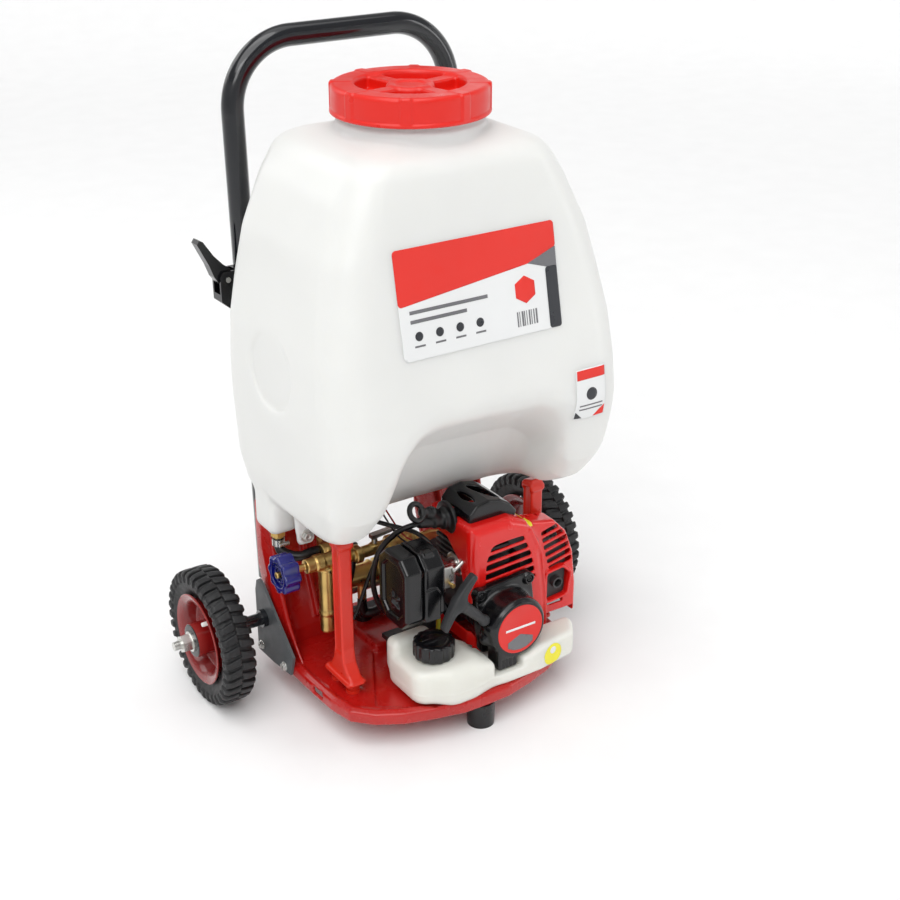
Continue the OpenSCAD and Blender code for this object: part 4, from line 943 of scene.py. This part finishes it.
def pump_mesh():
    s = Space((-178, -12, 70), (86, 60, 192), 1.2)
    body = on_crank(s, 36, 22, 52, 3)
    body = both(body, on_crank(s, 37.4, 44, 49, 1), 0.5)
    body = cut(body, np.abs(on_crank(s, 60, 49.6, 50.4)), 0.5)
    body = both(body, on_crank(s, 13, 40, 57, 2), 4)
    body = cut(body, on_crank(s, 7, 54, 70, 1), 1)
    for x, z in CASE_BOLTS:
        body = both(body, rod(s, "y", x, z, 5.6, 30, 53.4, 0.8), 2)
        body = both(body, capsule(s, (CRANK_X, 51, CRANK_Z), (x, 51, z), 3.2, 2.2), 2)
    body = both(body, rod(s, "x", 36, 124, 12.5, -88, 26, 2), 6)
    body = both(body, block(s, (-104, -6, 114), (-85, 46, 186), 4), 4)
    for z in (122, 146, 178):
        body = both(body, rod(s, "x", 22, z, 9, -110, -80, 1), 3)
    body = joined(
        body,
        (rod(s, "z", -114, 4, 8.5, 84, 168, 5), 2),
        (rod(s, "z", -114, 4, 9.6, 108, 114, 1), 1),
        (capsule(s, (-114, 4, 150), (-98, 4, 150), 6), 4),
        (rod(s, "x", 4, KNOB[2], 8.5, -140, -98, 1.5), 3),
        (rod(s, "x", 4, KNOB[2], 10.2, -128, -118, 1), 1),
        (rod(s, "x", 4, KNOB[2], 3.9, -176, -138, 0.5), 1),
        (rod(s, "x", 4, 172, 7, -88, 2, 1), 3))
    for x in (-78, -34, -12):
        body = both(body, shared(rod(s, "x", 4, 172, 11, x, x + 9, 0.8), np.abs(s.z - 172) - 9), 1)
    body = joined(
        body,
        (rod(s, "z", -24, 4, 5.4, 158.2, 172, 0.5), 2),
        (rod(s, "z", -50, 36, 5.4, 90.3, 116, 0.5), 3),
        (rod(s, "z", -50, 4, 6.5, 172, 179, 0.8), 2))
    for k in range(4):
        body = both(body, rod(s, "x", 36, 124, 14, -40 + 8 * k, -37 + 8 * k, 0.8), 1)
    return skin("pump", s, body)


def knob_mesh():
    s = Space((-24, -24, -11), (24, 24, 11), 0.7)
    r, a = np.sqrt(s.x ** 2 + s.y ** 2), np.arctan2(s.y, s.x)
    body = thick(r - (21.2 + 1.7 * np.cos(8 * a)), s.z, -10, 10, 2.2)
    body = cut(body, thick(r - 14.5, s.z, 4, 20, 1.5), 1.5)
    body = both(body, thick(np.abs(r - 9) - 1.2, s.z, 0, 8, 0.8), 1.5)
    mesh = skin("knob", s, cut(body, thick(r - 4.08, s.z, -30, 30)))
    mesh.transform(Matrix.Translation(Vector(KNOB) * MM) @ Matrix.Rotation(-math.pi / 2, 4, "Y"))
    return mesh


piece("pump_cast", pump_mesh(), "cart", "brass", "pump_body")
for k, (x, z) in enumerate(CASE_BOLTS):
    hex_bolt(f"case_bolt_{k}", (x, 53.2, z), (0, 1, 0), 6.0, 2.6)
piece("knob_moulded", knob_mesh(), "pressure_knob", "blue_plastic", "pressure_knob")

OX, OY = OUTLET[0], OUTLET[1]


def run(name, radius, slot, points, *replaced):
    """A hose, cable or wire that rides on the cart."""
    piece(name, hose(name, points, radius), "cart", slot, *replaced)


run("suction_hose", 5.75, "rubber", [
    (OX, OY, 197.7), (OX, OY, 190), (OX + 1, OY - 5, 182), (-141, 34, 177), (-131, 28, 176), (-121, 26, 178),
    (-113, 26, 178), (-106.4, 26, 176)], "pump_hoses")
run("return_hose", 5.75, "rubber", [
    (-24, 4, 157.7), (-24, 4, 147), (-24, 4, 140), (-27, 8, 106), (-34, 20, 80), (-45, 34, 70), (-50, 36, 78),
    (-50, 36, 89.7)])
run("bypass_hose", 5.4, "rubber", [
    (-70, 18, 178), (-71, 18, 168), (-73, 19, 150), (-75, 21, 134), (-76, 26, 126)])
run("drain_line", 2.2, "rubber", [
    (-30, -12, 196), (-46, -12, 184), (-60, -12, 163), (-72, -12, 138), (-82, -11, 112), (-88, -10, 98)])
run("plug_lead", 3.2, "rubber", [
    (-24.3, CRANK_Y, 222), (-31, CRANK_Y, 222), (-48, -44, 214), (-64, -30, 188), (-66, -18, 144),
    (-54, -16, 104), (-28, -18, 84), (-2, -20, 92), (12, -20, 104), (17, -20, 105)], "ignition_lead")
run("throttle_line", 2.6, "rubber", [
    (-14, -66, 186.6), (-14, -66, 193), (-24, -44, 206), (-44, -10, 208), (-60, 30, 206), (-66, 66, 206),
    (-66, 96.6, 206)], "throttle_cable")
run("petrol_line", 2.8, "fuel_hose", [
    (-12, -68, 137.7), (-12, -68.5, 128), (-12, -70, 112), (-12.5, -71, 98), (-14, -72, 86.5)], "fuel_line")
run("stop_wire_black", 1.0, "rubber", [
    (-30, 92, 214), (-34, 50, 222), (-38, 10, 215), (-30, -20, 190), (-6, -30, 176)])
run("stop_wire_red", 1.0, "red_moulding", [
    (-26, 92, 214), (-29, 50, 223), (-33, 10, 217), (-25, -20, 192), (-4, -32, 180)])

# ---------------------------------------------------------------- printed labels


def round_corners(points, radius, steps=5):
    """An outline whose corners are turned into arcs."""
    out = []
    n = len(points)
    for k in range(n):
        p, q, r = (Vector(points[(k + i) % n]) for i in (-1, 0, 1))
        a, b = (p - q).normalized(), (r - q).normalized()
        half = a.angle(b) / 2
        reach = radius / math.tan(half)
        centre = q + (a + b).normalized() * (radius / math.sin(half))
        start, end = q + a * reach - centre, q + b * reach - centre
        out += [centre + start.lerp(end, t / steps).normalized() * radius for t in range(steps + 1)]
    return out


def decal(name, points, target, height, material, step=3.0, down=False):
    """A thin printed patch that stands a little proud of a piece.

    It is drawn in x and z and laid on from the front, or in x and y and laid on from above.
    """
    edge = []
    for a, b in zip(points, points[1:] + points[:1]):
        a, b = Vector(a), Vector(b)
        count = max(1, int((b - a).length / step))
        edge += [a.lerp(b, k / count) for k in range(count)]
    n = len(edge)
    us, vs = [p.x for p in edge], [p.y for p in edge]
    inner = [Vector((u, v)) for u in np.arange(min(us) + step / 2, max(us), step)
             for v in np.arange(min(vs) + step / 2, max(vs), step)]
    rim = [(k, (k + 1) % n) for k in range(n)]
    co, _, faces, *_ = delaunay_2d_cdt(edge + inner, rim, [list(range(n))], 1, 1e-4)
    verts = []
    for p in co:
        u, v = p.x * MM, p.y * MM
        start, way = ((u, v, 0.8), (0, 0, -1)) if down else ((u, -0.3, v), (0, 1, 0))
        hit, normal, _, _ = target.ray_cast(Vector(start), Vector(way))
        verts.append(hit + normal * height * MM)
    mesh = bpy.data.meshes.new(name)
    mesh.from_pydata(verts, [], faces)
    mesh.shade_smooth()
    obj = piece(name, mesh, "cart", "badge_plastic", material=material)
    shell = obj.modifiers.new("thickness", "SOLIDIFY")
    shell.thickness, shell.offset = 0.0001, 0


def surface(obj):
    """A piece's surface, for laying decals on."""
    obj.data.calc_loop_triangles()
    corners = [(obj.matrix_world @ v.co)[:] for v in obj.data.vertices]
    return BVHTree.FromPolygons(corners, [t.vertices[:] for t in obj.data.loop_triangles])


front = surface(tank)
L, R, B, T = -96, 96, 458, 566  # the large label's left, right, bottom and top


def box_points(x0, z0, x1, z1):
    return [(x0, z0), (x1, z0), (x1, z1), (x0, z1)]


def disc_points(x, z, r, sides=20):
    turns = [2 * math.pi * k / sides for k in range(sides)]
    return [(x + r * math.sin(a), z + r * math.cos(a)) for a in turns]


def label(name, points, height, material):
    """A patch printed on the tank."""
    decal(name, points, front, height, material)


label("label_sheet", round_corners(box_points(L, B, R, T), 6), 0.25, label_white)
band = [(L, T - 55), (R - 34, T - 38), (R, T - 26), (R, T), (L, T)]
label("label_band", round_corners(band, 4), 0.40, label_red)
label("label_wedge", [(R - 36, T - 38), (R - 0.5, T - 49), (R - 0.5, T - 26)], 0.50, label_grey)
label("label_strip", round_corners(box_points(R - 15, B + 0.5, R - 0.5, T - 45), 3), 0.62, label_dark)
label("label_hexagon", disc_points(R - 42, B + 45, 14, 6), 0.45, label_red)
for k, (x, length) in enumerate(((-84, 92), (-84, 66))):
    label(f"label_rule_{k}", box_points(x, B + 45 - 9 * k, x + length, B + 48.5 - 9 * k), 0.45, label_grey)
for k in range(4):
    label(f"label_spot_{k}", disc_points(-76 + 24 * k, B + 23, 4.6, 16), 0.45, label_dark)
    label(f"label_foot_{k}", box_points(-82 + 24 * k, B + 12.6, -70 + 24 * k, B + 14.4), 0.45, label_grey)
for k, wide in enumerate((1.6, 0.9, 2.2, 1.2, 0.9, 1.8, 1.0, 1.4, 2.0)):
    x = R - 55 + 2.9 * k
    label(f"label_bar_{k}", box_points(x, B + 9, x + wide, B + 24), 0.45, label_grey)
label("caution_sheet", round_corners(box_points(108, 350, 148, 408), 1.5), 0.25, label_white)
label("caution_head", box_points(109.5, 396, 146.5, 406.5), 0.42, label_red)
label("caution_drop", disc_points(128, 379, 7, 18), 0.42, label_dark)
label("caution_corner_red", [(132, 351.5), (146.5, 351.5), (146.5, 363), (139, 358)], 0.42, label_red)
label("caution_corner_dark", [(109.5, 351.5), (118, 351.5), (109.5, 360)], 0.42, label_dark)
for k in range(2):
    label(f"caution_rule_{k}", box_points(113, 366 - 4.5 * k, 143, 367.6 - 4.5 * k), 0.42, label_grey)

badge_profile = [(0.05, 0), (29.9, 0), (29.9, 0.5), (29.4, 1.0), (28.2, 1.15), (27.6, 0.9), (0.05, 0.9)]
face = turned("badge_pressed", badge_profile, 64,
              Matrix.Translation((CRANK_X * MM, -0.1467, CRANK_Z * MM)) @ Matrix.Rotation(math.pi / 2, 4, "X"))
badge = surface(piece("badge_pressed", face, "cart", "badge_plastic", "starter_badge"))
chevron = [(-17, -20), (-17, -13), (0, -6), (17, -13), (17, -20), (9, -24.5), (0, -26), (-9, -24.5)]
decal("badge_chevron", [(CRANK_X + x, CRANK_Z + z) for x, z in chevron], badge, 0.2, label_grey)
decal("badge_bar", box_points(CRANK_X - 20, 111, CRANK_X + 20, 114), badge, 0.2, label_white)
fuel_front = surface(fuel_tank)
decal("fuel_mark", disc_points(93, 61.5, 13.5, 28), fuel_front, 0.2, label_yellow, step=2.0)
decal("fuel_mark_middle", disc_points(93, 67, 4.5, 20), fuel_front, 0.35, label_white, step=2.0)
shroud_patch = [(86, -91.5), (103, -90), (102, -75), (92, -73), (86, -74)]
decal("shroud_mark", shroud_patch, surface(shroud), 0.25, label_yellow, step=2.0, down=True)

# ---------------------------------------------------------------- camera, light and floor

camera_data = bpy.data.cameras.new("camera")
camera_data.lens = 61.46
camera = in_scene("camera", camera_data)
camera.location = (-0.8224, -1.3233, 1.0231)
camera.rotation_euler = (math.radians(64.63), 0, math.radians(-33.4))
bpy.context.scene.camera = camera


def softbox(name, place, target, size, power, tall=None):
    data = bpy.data.lights.new(name, "AREA")
    data.shape, data.size, data.size_y, data.energy = "RECTANGLE", size, tall or size, power
    lamp = in_scene(name, data)
    lamp.location = place
    lamp.rotation_euler = (Vector(target) - Vector(place)).to_track_quat("-Z", "Y").to_euler()


CENTRE = (0, 0, 0.35)
softbox("key", (-1.5, -1.5, 1.9), CENTRE, 1.0, 9)
softbox("strip", (1.7, -1.3, 1.0), CENTRE, 0.35, 5, 1.6)
softbox("top", (0.1, 0.1, 2.4), CENTRE, 1.5, 6)
softbox("back", (-0.9, 1.8, 1.6), CENTRE, 1.2, 7)
sun_data = bpy.data.lights.new("sky", "SUN")
sun_data.energy, sun_data.angle = 1.7, math.radians(60)
sun = in_scene("sky", sun_data)
sun.rotation_euler = (math.radians(18), math.radians(-22), 0)

world = bpy.data.worlds.new("studio")
world.use_nodes = True
world.node_tree.nodes["Background"].inputs["Color"].default_value = (1, 1, 1, 1)
world.node_tree.nodes["Background"].inputs["Strength"].default_value = 0.36
bpy.context.scene.world = world
bpy.context.scene.view_settings.view_transform = "Standard"

FLOOR_R, BEND_R, WALL_TOP, AROUND = 3.6, 1.8, 3.0, 96
rise = [(FLOOR_R * share, 0) for share in (0.3, 0.6, 0.9)]
rise += [(FLOOR_R + BEND_R * math.sin(a), BEND_R * (1 - math.cos(a)))
         for a in (math.pi / 24 * k for k in range(13))]
rise.append((FLOOR_R + BEND_R, WALL_TOP))
turns = [2 * math.pi * k / AROUND for k in range(AROUND)]
co = [(r * math.cos(a), r * math.sin(a), z) for r, z in rise for a in turns]
faces = [tuple(range(AROUND))]
for k in range(len(rise) - 1):
    a, b = k * AROUND, (k + 1) * AROUND
    faces += [(a + i, b + i, b + (i + 1) % AROUND, a + (i + 1) % AROUND) for i in range(AROUND)]
sweep = bpy.data.meshes.new("floor")
sweep.from_pydata(co, [], faces)
sweep.shade_smooth()
ground = in_scene("floor", sweep)
sweep.materials.append(finish("floor", (0.93, 0.93, 0.93), 0.8, mottle=0.01, grain=0.02))
